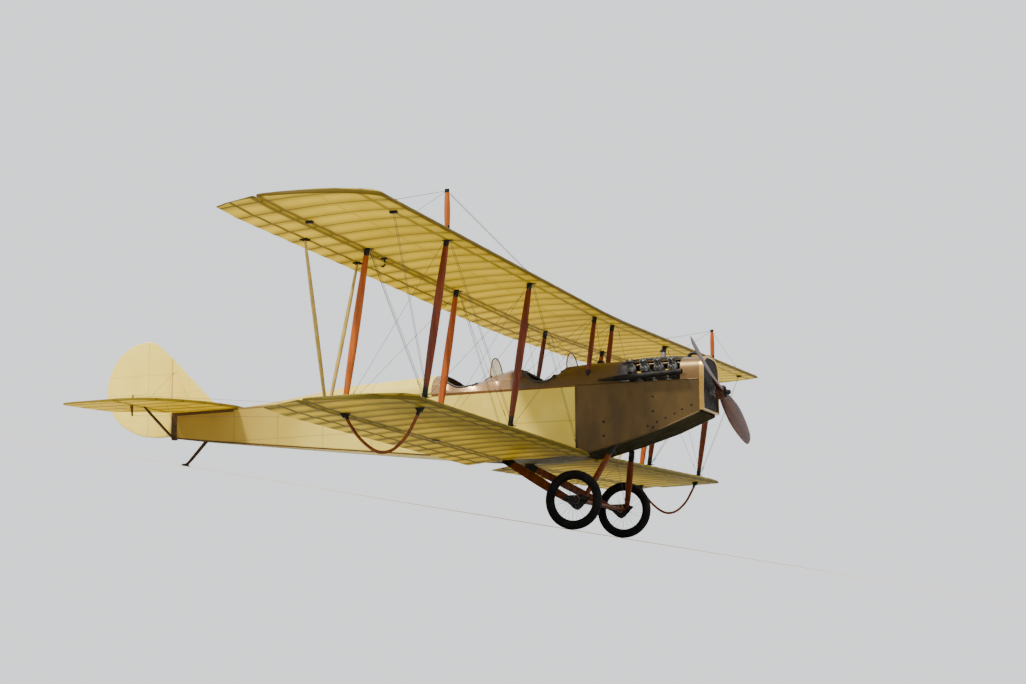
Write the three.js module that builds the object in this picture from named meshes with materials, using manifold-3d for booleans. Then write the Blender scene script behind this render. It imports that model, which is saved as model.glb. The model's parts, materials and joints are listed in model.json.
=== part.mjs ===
// A tandem two-seat training biplane of the late 1910s, parked on its wheels and tail skid.
// Units are millimetres. The finished model has +X to the nose, +Y to port and +Z up,
// with the floor at z = 0.
// Inside the airframe group the top longerons are level and the origin is the middle of the wheel axle.
import * as THREE from 'three';
import * as BufferGeometryUtils from 'three/addons/utils/BufferGeometryUtils.js';
import Module from 'manifold-3d';

const wasm = await Module();
wasm.setup();

const radians = THREE.MathUtils.degToRad;

// Driving dimensions
const GAP = 0.3;
const SEAT = 0.4;
const SIDES = { port: 1, starboard: -1 };

const WHEEL_RADIUS = 330;
const TYRE_SECTION = 51;
const HALF_TRACK = 869;
const AXLE_RADIUS = 20;
const SKID_TIP = new THREE.Vector3(-5485, 0, 681);
const BBOX_CENTRE_X = -2766;

const CHORD = 1511;
const INCIDENCE = radians(2.0);
const DIHEDRAL = radians(1.2);
const FRONT_SPAR = 174;
const REAR_SPAR = 1018;
const AILERON_HINGE = 1095;
const AILERON_ROOT = 3030;
const AILERON_GAP = 34;
const CENTRE_SECTION = 380;
const UPPER = { edgeX: 256, edgeZ: 2137, root: CENTRE_SECTION + GAP, span: 6645, flat: CENTRE_SECTION };
const LOWER = { edgeX: 13, edgeZ: 540, root: 352.6, span: 5300, flat: 352.6 };
const INNER_STRUT = 2355;
const OUTER_STRUT = 4526;

const LONGERON_Z = 1355;
const FIREWALL_X = -160;
const COCKPIT_END_X = -1960;
const DECK_JOINT_X = -960;
const RADIATOR_BACK = 1305;
const RADIATOR_FRONT = 1357;
const STERNPOST_X = -5690;
const SIDE_WALL = 18;
const METAL_WALL = 12;

const CRANK_Z = 1221;
const PROPELLER_X = 1474;
const PROPELLER_RADIUS = 1250;
const PROPELLER_TURN = radians(20.7);

const TAIL_HINGE_X = -5716;
const TAILPLANE_Z = 1378;
const TAIL_HALF_SPAN = 1330;

// Bottom line of the fuselage, nose to tail. Columns: x, height of the belly.
const BELLY = [
  [1357, 1000],
  [870, 808],
  [440, 680],
  [0, 572],
  [-600, 534],
  [-1100, 540],
  [-1960, 622],
  [-3500, 788],
  [-5200, 975],
  [-5690, 1040],
];
// Half width of the fuselage. Columns: x, half width.
const BREADTH = [
  [1357, 313],
  [-160, 352],
  [-1960, 352],
  [-5690, 28],
];
// Height of the rounded decking above the longerons. Columns: x, height.
const DECKING = [
  [1357, 272],
  [350, 288],
  [-70, 282],
  [-300, 262],
  [-355, 222],
  [-430, 186],
  [-560, 186],
  [-720, 228],
  [-885, 262],
  [-1025, 268],
  [-1076, 248],
  [-1150, 231],
  [-1278, 200],
  [-1371, 152],
  [-1440, 140],
  [-1560, 150],
  [-1700, 215],
  [-1880, 250],
  [-1960, 255],
  [-3100, 205],
  [-4200, 62],
  [-4700, 12],
  [-5690, 6],
];
// The wing section, both as fractions of the chord. Columns: distance behind the leading edge, height.
const SECTION_TOP = [
  [0, 0],
  [0.012, 0.02],
  [0.05, 0.042],
  [0.115, 0.06],
  [0.22, 0.072],
  [0.36, 0.075],
  [0.52, 0.068],
  [0.725, 0.0455],
  [0.87, 0.024],
  [1, 0.007],
];
const SECTION_UNDER = [
  [1, 0.001],
  [0.87, 0.008],
  [0.725, 0.0125],
  [0.5, 0.016],
  [0.3, 0.013],
  [0.115, 0.002],
  [0.04, -0.006],
  [0.008, -0.006],
];
// Outline of a wing tip. Columns: distance in from the tip, front and rear edge set back, thickness factor.
const TIP = [
  [545, 0, 0, 1],
  [355, 8, 0, 0.88],
  [275, 90, 0, 0.78],
  [165, 260, 0, 0.62],
  [85, 470, 0, 0.48],
  [25, 720, 140, 0.38],
  [0, 920, 330, 0.3],
];

const COLOURS = {
  fabric: { color: 0xd9c36b, roughness: 0.6, metalness: 0 },
  fin: { color: 0xebdd9b, roughness: 0.6, metalness: 0 },
  cowl: { color: 0x5e4526, roughness: 0.4, metalness: 0.6 },
  deck: { color: 0xcdbb92, roughness: 0.35, metalness: 0.3 },
  brass: { color: 0xa98f55, roughness: 0.3, metalness: 0.9 },
  steel: { color: 0x8a8d90, roughness: 0.4, metalness: 0.9 },
  exhaust: { color: 0x1d1b1a, roughness: 0.6, metalness: 0.6 },
  wood: { color: 0x8a3f1a, roughness: 0.4, metalness: 0 },
  darkWood: { color: 0x3a2216, roughness: 0.5, metalness: 0 },
  leather: { color: 0x1c1917, roughness: 0.7, metalness: 0 },
  rubber: { color: 0x151515, roughness: 0.9, metalness: 0 },
  ply: { color: 0xb08a52, roughness: 0.6, metalness: 0 },
};
const materials = Object.fromEntries(
  Object.entries(COLOURS).map(([name, look]) => [name, new THREE.MeshStandardMaterial({ name, ...look })]),
);

const airframe = new THREE.Group();

function add(name, geometry, material) {
  const mesh = new THREE.Mesh(geometry, materials[material]);
  mesh.name = name;
  airframe.add(mesh);
}

// Value of a table's second column at x, on straight lines between its rows.
function lookUp(table, x) {
  const rows = [...table].sort((a, b) => a[0] - b[0]);
  const after = rows.findIndex(([start]) => start >= x);
  if (after < 0) return rows[rows.length - 1][1];
  if (after === 0) return rows[0][1];
  const [x0, value0] = rows[after - 1];
  const [x1, value1] = rows[after];
  return value0 + ((value1 - value0) * (x - x0)) / (x1 - x0);
}

// Vertices shared, faces outward.
function closed(geometry) {
  const bare = new THREE.BufferGeometry();
  bare.setAttribute('position', geometry.attributes.position.clone());
  if (geometry.index) bare.setIndex([...geometry.index.array]);
  const merged = BufferGeometryUtils.mergeVertices(bare, 1e-3);
  const index = merged.index.array;
  const position = merged.attributes.position;
  const corners = [new THREE.Vector3(), new THREE.Vector3(), new THREE.Vector3()];
  const kept = [];
  let volume = 0;
  for (let i = 0; i < index.length; i += 3) {
    const [a, b, c] = [index[i], index[i + 1], index[i + 2]];
    if (a === b || b === c || c === a) continue;
    kept.push(a, b, c);
    corners.forEach((corner, k) => corner.fromBufferAttribute(position, index[i + k]));
    volume += corners[0].dot(corners[1].clone().cross(corners[2]));
  }
  if (volume < 0) {
    for (let i = 0; i < kept.length; i += 3) [kept[i + 1], kept[i + 2]] = [kept[i + 2], kept[i + 1]];
  }
  merged.setIndex(kept);
  return merged;
}

function toSolid(geometry) {
  const mesh = closed(geometry);
  const vertProperties = new Float32Array(mesh.attributes.position.array);
  const triVerts = Uint32Array.from(mesh.index.array);
  return new wasm.Manifold(new wasm.Mesh({ numProp: 3, vertProperties, triVerts }));
}

function toGeometry(solid) {
  const mesh = solid.getMesh();
  const geometry = new THREE.BufferGeometry();
  geometry.setAttribute('position', new THREE.BufferAttribute(new Float32Array(mesh.vertProperties), 3));
  geometry.setIndex([...mesh.triVerts]);
  return geometry;
}

function joined(...geometries) {
  return toGeometry(geometries.map(toSolid).reduce((whole, solid) => whole.add(solid)));
}

function cut(geometry, ...tools) {
  return toGeometry(tools.map(toSolid).reduce((whole, solid) => whole.subtract(solid), toSolid(geometry)));
}

function common(geometry, tool) {
  return toGeometry(toSolid(geometry).intersect(toSolid(tool)));
}

// The piece on the other side of the plane of symmetry.
function mirrored(geometry) {
  return closed(geometry.clone().scale(1, -1, 1));
}

function onSide(geometry, side) {
  return side > 0 ? geometry : mirrored(geometry);
}

// An outline carried through a table of rows; place(u, v, row) gives each point's position.
function loft(outline, rows, place) {
  const steps = rows.length - 1;
  const options = { depth: steps, steps, bevelEnabled: false, curveSegments: 6 };
  const geometry = new THREE.ExtrudeGeometry(outline, options);
  const position = geometry.attributes.position;
  for (let i = 0; i < position.count; i++) {
    const row = rows[Math.round(position.getZ(i))];
    position.setXYZ(i, ...place(position.getX(i), position.getY(i), row));
  }
  return closed(geometry);
}

function polygon(points) {
  return new THREE.Shape(points.map(([u, v]) => new THREE.Vector2(u, v)));
}

function box(x0, x1, y0, y1, z0, z1) {
  const block = new THREE.BoxGeometry(x1 - x0, y1 - y0, z1 - z0);
  return block.translate((x0 + x1) / 2, (y0 + y1) / 2, (z0 + z1) / 2);
}

// A plate of an outline, lying flat and with its rim chamfered.
function plate(shape, thickness, rounding) {
  const depth = thickness - 2 * rounding;
  const rim = { bevelThickness: rounding, bevelSize: rounding, bevelOffset: -rounding, bevelSegments: 1 };
  const options = { depth, curveSegments: 10, bevelEnabled: rounding > 0, ...rim };
  return new THREE.ExtrudeGeometry(shape, options).translate(0, 0, rounding);
}

// A plate seen from the side (x, z outline) between two values of y.
function sidePlate(shape, y0, y1, rounding = 0) {
  return closed(plate(shape, y1 - y0, rounding).rotateX(Math.PI / 2).translate(0, y1, 0));
}

// A plate seen from above (x, y outline) between two heights.
function levelPlate(shape, z0, z1, rounding = 0) {
  return closed(plate(shape, z1 - z0, rounding).translate(0, 0, z0));
}

// A round bar from one point to another.
function bar(from, to, radius, sides = 8, endRadius = radius) {
  const direction = new THREE.Vector3().subVectors(to, from);
  const geometry = new THREE.CylinderGeometry(endRadius, radius, direction.length(), sides);
  const upright = new THREE.Vector3(0, 1, 0);
  const turn = new THREE.Quaternion().setFromUnitVectors(upright, direction.clone().normalize());
  return geometry.applyQuaternion(turn).translate(...from.clone().add(to).multiplyScalar(0.5));
}

// A streamlined strut, broad fore and aft, fuller at mid-length.
// Columns: fraction of the length, size factor.
const STRUT_SWELL = [
  [0, 0.62],
  [0.2, 0.9],
  [0.5, 1],
  [0.8, 0.9],
  [1, 0.62],
];
const STREAMLINE = polygon([
  [0.5, 0],
  [0.3, 0.43],
  [-0.08, 0.45],
  [-0.5, 0.06],
  [-0.5, -0.06],
  [-0.08, -0.45],
  [0.3, -0.43],
]);
function strut(from, to, breadth, thickness, swell = STRUT_SWELL) {
  const along = new THREE.Vector3().subVectors(to, from);
  const across = new THREE.Vector3().crossVectors(along, new THREE.Vector3(1, 0, 0)).normalize();
  const forward = new THREE.Vector3().crossVectors(across, along).normalize();
  return loft(STREAMLINE, swell, (u, v, [fraction, factor]) => {
    const point = from.clone().addScaledVector(along, fraction);
    point.addScaledVector(forward, u * breadth * factor);
    return point.addScaledVector(across, v * thickness * factor);
  });
}

// A bar bent along a curve, with round section.
function bentBar(points, radius, steps, sides = 6) {
  const section = new THREE.Shape().absarc(0, 0, radius, 0, 2 * Math.PI);
  const extrudePath = new THREE.CatmullRomCurve3(points);
  return closed(new THREE.ExtrudeGeometry(section, { steps, extrudePath, curveSegments: sides }));
}

// A closed ring of round section about a closed curve.
function ring(curve, radius, sides, steps) {
  const geometry = new THREE.TorusGeometry(2, 1, sides, steps);
  const position = geometry.attributes.position;
  const frames = curve.computeFrenetFrames(steps, true);
  for (let j = 0; j <= sides; j++) {
    const turn = (2 * Math.PI * j) / sides;
    for (let i = 0; i <= steps; i++) {
      const point = curve.getPointAt((i % steps) / steps);
      point.addScaledVector(frames.normals[i % steps], radius * Math.cos(turn));
      point.addScaledVector(frames.binormals[i % steps], radius * Math.sin(turn));
      position.setXYZ(j * (steps + 1) + i, ...point);
    }
  }
  return closed(geometry);
}

// Wings

const chordSlope = { x: Math.cos(INCIDENCE), z: Math.sin(INCIDENCE) };
const MID_HEIGHT = 0.029;

// Height that the dihedral adds at a distance y from the plane of symmetry.
function rise(wing, y) {
  return Math.max(0, y - wing.flat) * Math.tan(DIHEDRAL);
}

// A point of a wing: distance behind the leading edge and height above the chord line, both in millimetres.
function wingPoint(wing, y, behind, height) {
  const x = wing.edgeX - behind * chordSlope.x + height * chordSlope.z;
  const z = wing.edgeZ + rise(wing, y) - behind * chordSlope.z + height * chordSlope.x;
  return [x, y, z];
}

function wingRows(wing, from) {
  const tip = TIP.map(([inward, ...rest]) => [wing.span - inward, ...rest]);
  return [[from, 0, 0, 1], ...tip];
}

function thinned(height, factor) {
  return (MID_HEIGHT + (height - MID_HEIGHT) * factor) * CHORD;
}

function wholeWing(wing) {
  const outline = polygon([...SECTION_TOP, ...SECTION_UNDER]);
  return loft(outline, wingRows(wing, wing.root), (u, v, [y, front, rear, factor]) =>
    wingPoint(wing, y, front + u * (CHORD - front - rear), thinned(v, factor)),
  );
}

// The aileron's section: a round nose about the hinge line, then the wing's own tail.
const NOSE_RADIUS = 0.0165;
function aileronOutline() {
  const hinge = AILERON_HINGE / CHORD;
  const nose = [-60, -20, 20, 60].map((angle) => [
    hinge - NOSE_RADIUS * Math.cos(radians(angle)),
    MID_HEIGHT + NOSE_RADIUS * Math.sin(radians(angle)),
  ]);
  return polygon([...nose, ...SECTION_TOP.slice(-3), ...SECTION_UNDER.slice(0, 3)]);
}

function aileron(wing) {
  const outline = aileronOutline();
  const tail = CHORD - AILERON_HINGE;
  return loft(outline, wingRows(wing, AILERON_ROOT), (u, v, [y, , rear, factor]) => {
    const behindHinge = u * CHORD - AILERON_HINGE;
    const shrink = behindHinge > 0 ? (tail - rear) / tail : 1;
    return wingPoint(wing, y, AILERON_HINGE + behindHinge * shrink, thinned(v, factor));
  });
}

// Hinges: a round knuckle on the moving surface turns against a lug of the fixed one.
const KNUCKLE_WIDTH = 36;
const LUG_HEIGHT = 16;
const LUG_ROOT = 20;
const AILERON_KNUCKLE = NOSE_RADIUS * CHORD + 1;
function aileronHinges(wing) {
  return [0.06, 0.5, 0.86].map((share) => AILERON_ROOT + share * (wing.span - AILERON_ROOT));
}

function hingePoint(wing, y) {
  return new THREE.Vector3(...wingPoint(wing, y, AILERON_HINGE, MID_HEIGHT * CHORD));
}

function knuckle(centre, axis, radius) {
  const half = axis.clone().setLength(KNUCKLE_WIDTH / 2);
  return bar(centre.clone().sub(half), centre.clone().add(half), radius, 12);
}

// The flat lug that carries a knuckle: from one x to another, across the given y and z.
function lug(x0, x1, y, z) {
  const half = KNUCKLE_WIDTH / 2;
  return box(x0, x1, y - half, y + half, z - LUG_HEIGHT / 2, z + LUG_HEIGHT / 2);
}

function hingedAileron(wing) {
  const axis = new THREE.Vector3(0, Math.cos(DIHEDRAL), Math.sin(DIHEDRAL));
  const knuckles = aileronHinges(wing).map((y) => knuckle(hingePoint(wing, y), axis, AILERON_KNUCKLE));
  return joined(aileron(wing), ...knuckles);
}

const AILERON_END_GAP = 12;
function fixedWing(wing) {
  const wall = wing.edgeX - AILERON_HINGE + AILERON_GAP;
  const recess = box(wall - 2000, wall, AILERON_ROOT - AILERON_END_GAP, wing.span + 100, 0, 4000);
  const lugs = aileronHinges(wing).map((y) => {
    const { x, z } = hingePoint(wing, y);
    return lug(x + AILERON_KNUCKLE + GAP, x + AILERON_GAP + LUG_ROOT, y, z);
  });
  return joined(cut(wholeWing(wing), recess), ...lugs);
}

const centreSection = loft(
  polygon([...SECTION_TOP, ...SECTION_UNDER]),
  [-CENTRE_SECTION, CENTRE_SECTION],
  (u, v, y) => wingPoint(UPPER, y, u * CHORD, v * CHORD),
);
add('upper_centre_section', centreSection, 'fabric');

const upperWing = fixedWing(UPPER);
const lowerWing = fixedWing(LOWER);
const aileronMast = { behind: AILERON_HINGE + 252, upperY: [4073, 5189], lowerY: 4240 };
for (const [sideName, side] of Object.entries(SIDES)) {
  add(`upper_wing_${sideName}`, onSide(upperWing, side), 'fabric');
  add(`lower_wing_${sideName}`, onSide(lowerWing, side), 'fabric');
  add(`upper_aileron_${sideName}`, onSide(hingedAileron(UPPER), side), 'fabric');
  add(`lower_aileron_${sideName}`, onSide(hingedAileron(LOWER), side), 'fabric');
}

// The same wing moved down or up by the seating gap, to trim what stands against it.
const upperTrim = joined(wholeWing(UPPER), centreSection).translate(0, 0, -SEAT);
const lowerTrim = lowerWing.clone().translate(0, 0, SEAT);
const lowerTrimBelow = lowerWing.clone().translate(0, 0, -SEAT);
const upperTrimAbove = wholeWing(UPPER).translate(0, 0, SEAT);

// Interplane struts, in pairs held apart by their crossed incidence wires

const WIRE = 4;
const STRUT_BREADTH = 88;
const STRUT_THICKNESS = 44;
const STRUT_TAPER = [
  [0, 0.5],
  [0.2, 0.85],
  [0.5, 1],
  [0.8, 0.85],
  [1, 0.5],
];
const STRUT_SINK = 12;

// A point on a spar: above the underside for the upper wing, below the top for the lower one.
function sparPoint(wing, y, spar, height) {
  return new THREE.Vector3(...wingPoint(wing, y, spar, height));
}

function strutPair(y) {
  const pairs = [FRONT_SPAR, REAR_SPAR].map((spar) => ({
    foot: sparPoint(LOWER, y, spar, spar === FRONT_SPAR ? 80 : 60),
    head: sparPoint(UPPER, y, spar, spar === FRONT_SPAR ? STRUT_SINK + 20 : STRUT_SINK + 30),
  }));
  const [front, rear] = pairs;
  const struts = pairs.map(({ foot, head }) =>
    strut(foot, head, STRUT_BREADTH, STRUT_THICKNESS, STRUT_TAPER),
  );
  const inset = 0.05;
  const wires = [
    [front, rear],
    [rear, front],
  ].map(([low, high]) =>
    bar(low.foot.clone().lerp(low.head, inset), high.foot.clone().lerp(high.head, 1 - inset), WIRE, 4),
  );
  return cut(joined(...struts, ...wires), upperTrim, lowerTrim);
}

for (const [sideName, side] of Object.entries(SIDES)) {
  add(`inner_struts_${sideName}`, onSide(strutPair(INNER_STRUT), side), 'wood');
  add(`outer_struts_${sideName}`, onSide(strutPair(OUTER_STRUT), side), 'wood');
}

// King posts and bow skids

const KING_POST_TOP = 2712;
const KING_POST_BREADTH = 62;
const KING_POST_THICKNESS = 44;
const kingPost = (() => {
  const foot = sparPoint(UPPER, OUTER_STRUT, FRONT_SPAR, 60);
  const head = foot.clone().setZ(KING_POST_TOP);
  return cut(strut(foot, head, KING_POST_BREADTH, KING_POST_THICKNESS), upperTrimAbove);
})();

const BOW_RADIUS = 15;
// Path of a bow skid under the lower wing. Columns: x, z.
const BOW_PATH = [
  [-190, 640],
  [-245, 520],
  [-350, 350],
  [-500, 232],
  [-660, 232],
  [-830, 360],
  [-950, 520],
  [-1000, 625],
];
const bowSkid = (() => {
  const points = BOW_PATH.map(([x, z]) => new THREE.Vector3(x, OUTER_STRUT, z));
  return cut(bentBar(points, BOW_RADIUS, 14), lowerTrimBelow);
})();

for (const [sideName, side] of Object.entries(SIDES)) {
  add(`king_post_${sideName}`, onSide(kingPost, side), 'wood');
  add(`bow_skid_${sideName}`, onSide(bowSkid, side), 'wood');
}

// The slim struts that link each pair of ailerons in a V, with a round eye at each end
const EYE_RADIUS = 9;
const LINK_CLEARANCE = 6;
const LINK_BREADTH = 46;
const LINK_THICKNESS = 26;
const aileronLink = (() => {
  const share = aileronMast.behind / CHORD;
  const headHeight = lookUp(SECTION_UNDER, share) * CHORD - EYE_RADIUS - SEAT;
  const footRise = lookUp(SECTION_TOP, share) * CHORD + EYE_RADIUS + LINK_CLEARANCE;
  const heads = aileronMast.upperY.map(
    (y) => new THREE.Vector3(...wingPoint(UPPER, y, aileronMast.behind, headHeight)),
  );
  const foot = new THREE.Vector3(...wingPoint(LOWER, aileronMast.lowerY, aileronMast.behind, footRise));
  const hingeAxis = new THREE.Vector3(0, Math.cos(DIHEDRAL), Math.sin(DIHEDRAL));
  const rods = heads.map((head) => strut(foot, head.clone().lerp(foot, 0.004), LINK_BREADTH, LINK_THICKNESS));
  const eyes = [...heads, foot].map((eye) => {
    const half = hingeAxis.clone().setLength(14);
    return bar(eye.clone().sub(half), eye.clone().add(half), EYE_RADIUS, 8);
  });
  return joined(...rods, ...eyes);
})();
for (const [sideName, side] of Object.entries(SIDES)) {
  add(`aileron_link_${sideName}`, onSide(aileronLink, side), 'ply');
}

// Fuselage

const halfWidth = (x) => lookUp(BREADTH, x);
const belly = (x) => lookUp(BELLY, x);
const deckHeight = (x) => lookUp(DECKING, x);

function bellyLine(from, to, offset = 0) {
  const inside = BELLY.map(([x]) => x).filter((x) => x < Math.max(from, to) && x > Math.min(from, to));
  const xs = [from, ...(from > to ? inside : inside.reverse()), to];
  return xs.map((x) => [x, belly(x) + offset]);
}

// A side panel: its outer face follows the fuselage's plan, its inner face lies one wall further in.
function sidePanel(from, to, wall) {
  const outline = polygon([...bellyLine(from, to), [to, LONGERON_Z], [from, LONGERON_Z]]);
  return loft(outline, [0, wall], (x, z, depth) => [x, halfWidth(x) - depth, z]);
}

// The panel that closes the bottom between the two sides.
function bottomPanel(from, to, sideWall, thickness) {
  const outline = polygon([...bellyLine(from, to), ...bellyLine(to, from, thickness)]);
  return loft(outline, [-1, 1], (x, z, side) => [x, side * (halfWidth(x) - sideWall - GAP), z]);
}

const cowlSide = sidePanel(RADIATOR_BACK, FIREWALL_X, METAL_WALL);
const fuselageSide = sidePanel(FIREWALL_X - GAP, COCKPIT_END_X, SIDE_WALL);
for (const [sideName, side] of Object.entries(SIDES)) {
  add(`cowl_side_${sideName}`, onSide(cowlSide, side), 'cowl');
  add(`fuselage_side_${sideName}`, onSide(fuselageSide, side), 'fabric');
}
add('cowl_bottom', bottomPanel(RADIATOR_BACK, FIREWALL_X, METAL_WALL, METAL_WALL), 'cowl');
add('fuselage_floor', bottomPanel(FIREWALL_X - GAP, COCKPIT_END_X, SIDE_WALL, 15), 'fabric');

// Half of the arch over the longerons, as fractions of the half width and the height, from edge to crown.
const ARCH_POWER = 2.3;
const ARCH_STEPS = 8;
function archPoint(step, steps = ARCH_STEPS) {
  const turn = (Math.PI * step) / steps;
  const power = 2 / ARCH_POWER;
  const across = Math.sign(Math.cos(turn)) * Math.abs(Math.cos(turn)) ** power;
  return [across, Math.max(0, Math.sin(turn)) ** power];
}
const ARCH = Array.from({ length: ARCH_STEPS + 1 }, (_, step) => archPoint(step));

// The rear fuselage with its turtle deck, from the rear cockpit to the sternpost.
const REAR_STATIONS = [COCKPIT_END_X - GAP, -3100, -3500, -4200, -4700, -5200, STERNPOST_X];
const rearOutline = polygon([...ARCH, [-1, -1], [1, -1]]);
const rearFuselage = loft(rearOutline, REAR_STATIONS, (u, v, x) => {
  const drop = LONGERON_Z - belly(x);
  return [x, u * halfWidth(x), LONGERON_Z + (v > 0 ? v * deckHeight(x) : v * drop)];
});
add('rear_fuselage', rearFuselage, 'fabric');

// Firewall between the engine bay and the front cockpit
const FIREWALL_THICKNESS = 12;
const firewallFront = FIREWALL_X - 6;
const firewall = (() => {
  const edge = halfWidth(firewallFront) - SIDE_WALL - GAP;
  const foot = belly(firewallFront) + 15 + 4;
  return box(firewallFront - FIREWALL_THICKNESS, firewallFront, -edge, edge, foot, LONGERON_Z - 2);
})();
add('firewall', firewall, 'steel');

// The decking is a rounded shell with a cockpit cut through it; each cut is a curve seen from the side.
// Columns: x, z.
const FRONT_COCKPIT = [
  [-412, 1700],
  [-415, 1560],
  [-428, 1490],
  [-453, 1440],
  [-500, 1415],
  [-563, 1406],
  [-672, 1423],
  [-793, 1505],
  [-885, 1572],
  [-910, 1700],
];
const REAR_COCKPIT = [
  [-1375, 1700],
  [-1378, 1560],
  [-1392, 1475],
  [-1425, 1432],
  [-1510, 1411],
  [-1624, 1404],
  [-1710, 1437],
  [-1800, 1490],
  [-1880, 1570],
  [-1925, 1700],
];
const DECK_WALL = 12;
const DASH_THICKNESS = 12;
const DASH_INSET = 6;
const DASH_FOOT = 1180;

function cockpitCurve(table) {
  return new THREE.SplineCurve(table.map(([x, z]) => new THREE.Vector2(x, z)));
}

function cockpitCut(table) {
  const points = cockpitCurve(table).getPoints(18);
  return sidePlate(new THREE.Shape(points), -600, 600);
}

function deckStations(from, to) {
  const inside = DECKING.map(([x]) => x).filter((x) => x < from && x > to);
  return [from, ...inside, to];
}

function deckShell(from, to) {
  const arch = polygon(ARCH);
  const height = (x) => deckHeight(x) - GAP;
  const outer = loft(arch, deckStations(from, to), (u, v, x) => [
    x,
    u * halfWidth(x),
    LONGERON_Z + GAP + v * height(x),
  ]);
  const inner = loft(arch, [from + 50, ...deckStations(from, to).slice(1, -1), to - 50], (u, v, x) => [
    x,
    u * (halfWidth(x) - DECK_WALL),
    LONGERON_Z + GAP + (v > 0 ? v * (height(x) - DECK_WALL) : -20),
  ]);
  return { outer, inner };
}

// A panel across the fuselage under the decking, such as an instrument board.
function dash(x) {
  const edge = halfWidth(x) - SIDE_WALL - 1;
  const board = box(x - DASH_THICKNESS, x, -edge, edge, DASH_FOOT, LONGERON_Z + 6);
  const half = halfWidth(x) - DASH_INSET;
  const rise = deckHeight(x) - 2 * DASH_INSET;
  const arch = polygon(ARCH.map(([u, v]) => [u * half, LONGERON_Z + DASH_INSET - 1 + v * rise]));
  const head = loft(arch, [x - DASH_THICKNESS, x], (y, z, at) => [at, y, z]);
  return joined(board, head);
}

const FRONT_DASH_X = -206;
const REAR_DASH_X = -1190;
const TANK_END_X = 350;
const frontShell = deckShell(TANK_END_X, DECK_JOINT_X);
const behindDash = box(DECK_JOINT_X - 100, FRONT_DASH_X, -500, 500, 0, 3000);
const hollowFront = cut(frontShell.outer, common(frontShell.inner, behindDash));
const frontDeck = joined(cut(hollowFront, cockpitCut(FRONT_COCKPIT)), dash(FRONT_DASH_X + 2));
const rearShell = deckShell(DECK_JOINT_X - GAP, COCKPIT_END_X);
const hollowRear = cut(rearShell.outer, rearShell.inner, cockpitCut(REAR_COCKPIT));
const rearDeck = joined(hollowRear, cut(dash(REAR_DASH_X), cockpitCut(REAR_COCKPIT)));
add('front_deck', frontDeck, 'cowl');
add('rear_deck', rearDeck, 'deck');

// Padded rims round the cockpits
const PAD_RADIUS = 13;
const CREST_DROP = 18;
function coaming(table, deck) {
  const curve = cockpitCurve(table);
  const limit = (x) => LONGERON_Z + deckHeight(x) - DECK_WALL / 2;
  const oneSide = curve
    .getSpacedPoints(60)
    .map((point, i) => {
      const tangent = curve.getTangentAt(i / 60);
      const outward = new THREE.Vector2(tangent.y, -tangent.x);
      if (outward.y < 0) outward.negate();
      return point.clone().addScaledVector(outward, PAD_RADIUS + GAP + 0.2);
    })
    .filter((point) => point.y < limit(point.x) - CREST_DROP);
  const rim = oneSide.map((point) => {
    const share = Math.min(1, (point.y - LONGERON_Z) / (deckHeight(point.x) - DECK_WALL / 2));
    const across = (1 - share ** ARCH_POWER) ** (1 / ARCH_POWER);
    return new THREE.Vector3(point.x, across * (halfWidth(point.x) - DECK_WALL / 2), point.y);
  });
  const every = rim.filter((_, i) => i % 4 === 0);
  const other = every.map((point) => point.clone().setY(-point.y)).reverse();
  const pad = ring(new THREE.CatmullRomCurve3([...every, ...other], true), PAD_RADIUS, 6, 28);
  const shifts = [
    [SEAT, 0, 0],
    [-SEAT, 0, 0],
    [0, SEAT, 0],
    [0, -SEAT, 0],
    [0, 0, SEAT],
  ];
  return cut(pad, ...shifts.map((shift) => deck.clone().translate(...shift)));
}
add('front_coaming', coaming(FRONT_COCKPIT, frontDeck), 'leather');
add('rear_coaming', coaming(REAR_COCKPIT, rearDeck), 'leather');

// Arched windscreen frames, raked aft
const SCREEN_HALF_WIDTH = 165;
const SCREEN_TOP = 1782;
const SCREEN_RAKE = 15;
function windscreen(x, deck) {
  const base = LONGERON_Z + deckHeight(x) - 60;
  const points = [
    [0, 1, 0],
    [0.35, 0.98, 0],
    [0.7, 0.75, 0],
    [0.93, 0.4, 0],
    [1, 0, 0],
    [0.93, -0.4, 0],
    [0.7, -0.75, 0],
    [0.35, -0.98, 0],
    [0, -1, 0],
  ].map(([up, across]) => {
    const height = base + (SCREEN_TOP - base) * up;
    return new THREE.Vector3(x - SCREEN_RAKE * up, across * SCREEN_HALF_WIDTH, height);
  });
  return cut(bentBar(points, 8, 12, 5), deck.clone().translate(0, 0, SEAT));
}
add('front_windscreen', windscreen(-308, frontShell.outer), 'deck');
add('rear_windscreen', windscreen(-1262, rearShell.outer), 'deck');

// Seats on cross bearers, and the two joined control sticks
const SEAT_HALF_WIDTH = 205;
function seat(backX, panZ) {
  const depth = 380;
  const wall = 14;
  const reach = halfWidth(backX) - SIDE_WALL - GAP;
  const pan = box(backX, backX + depth, -SEAT_HALF_WIDTH, SEAT_HALF_WIDTH, panZ, panZ + 25);
  const back = box(backX, backX + 20, -SEAT_HALF_WIDTH, SEAT_HALF_WIDTH, panZ, panZ + 420);
  const sides = [-1, 1].map((side) => {
    const y = side * (SEAT_HALF_WIDTH - wall / 2);
    return box(backX, backX + depth - 60, y - wall / 2, y + wall / 2, panZ, panZ + 130);
  });
  const bearers = [60, depth - 60].map((ahead) =>
    box(backX + ahead - 20, backX + ahead + 20, -reach, reach, panZ - 34, panZ + 4),
  );
  return joined(pan, back, ...sides, ...bearers);
}
add('front_seat', seat(-915, 830), 'ply');
add('rear_seat', seat(-1850, 850), 'ply');

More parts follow.
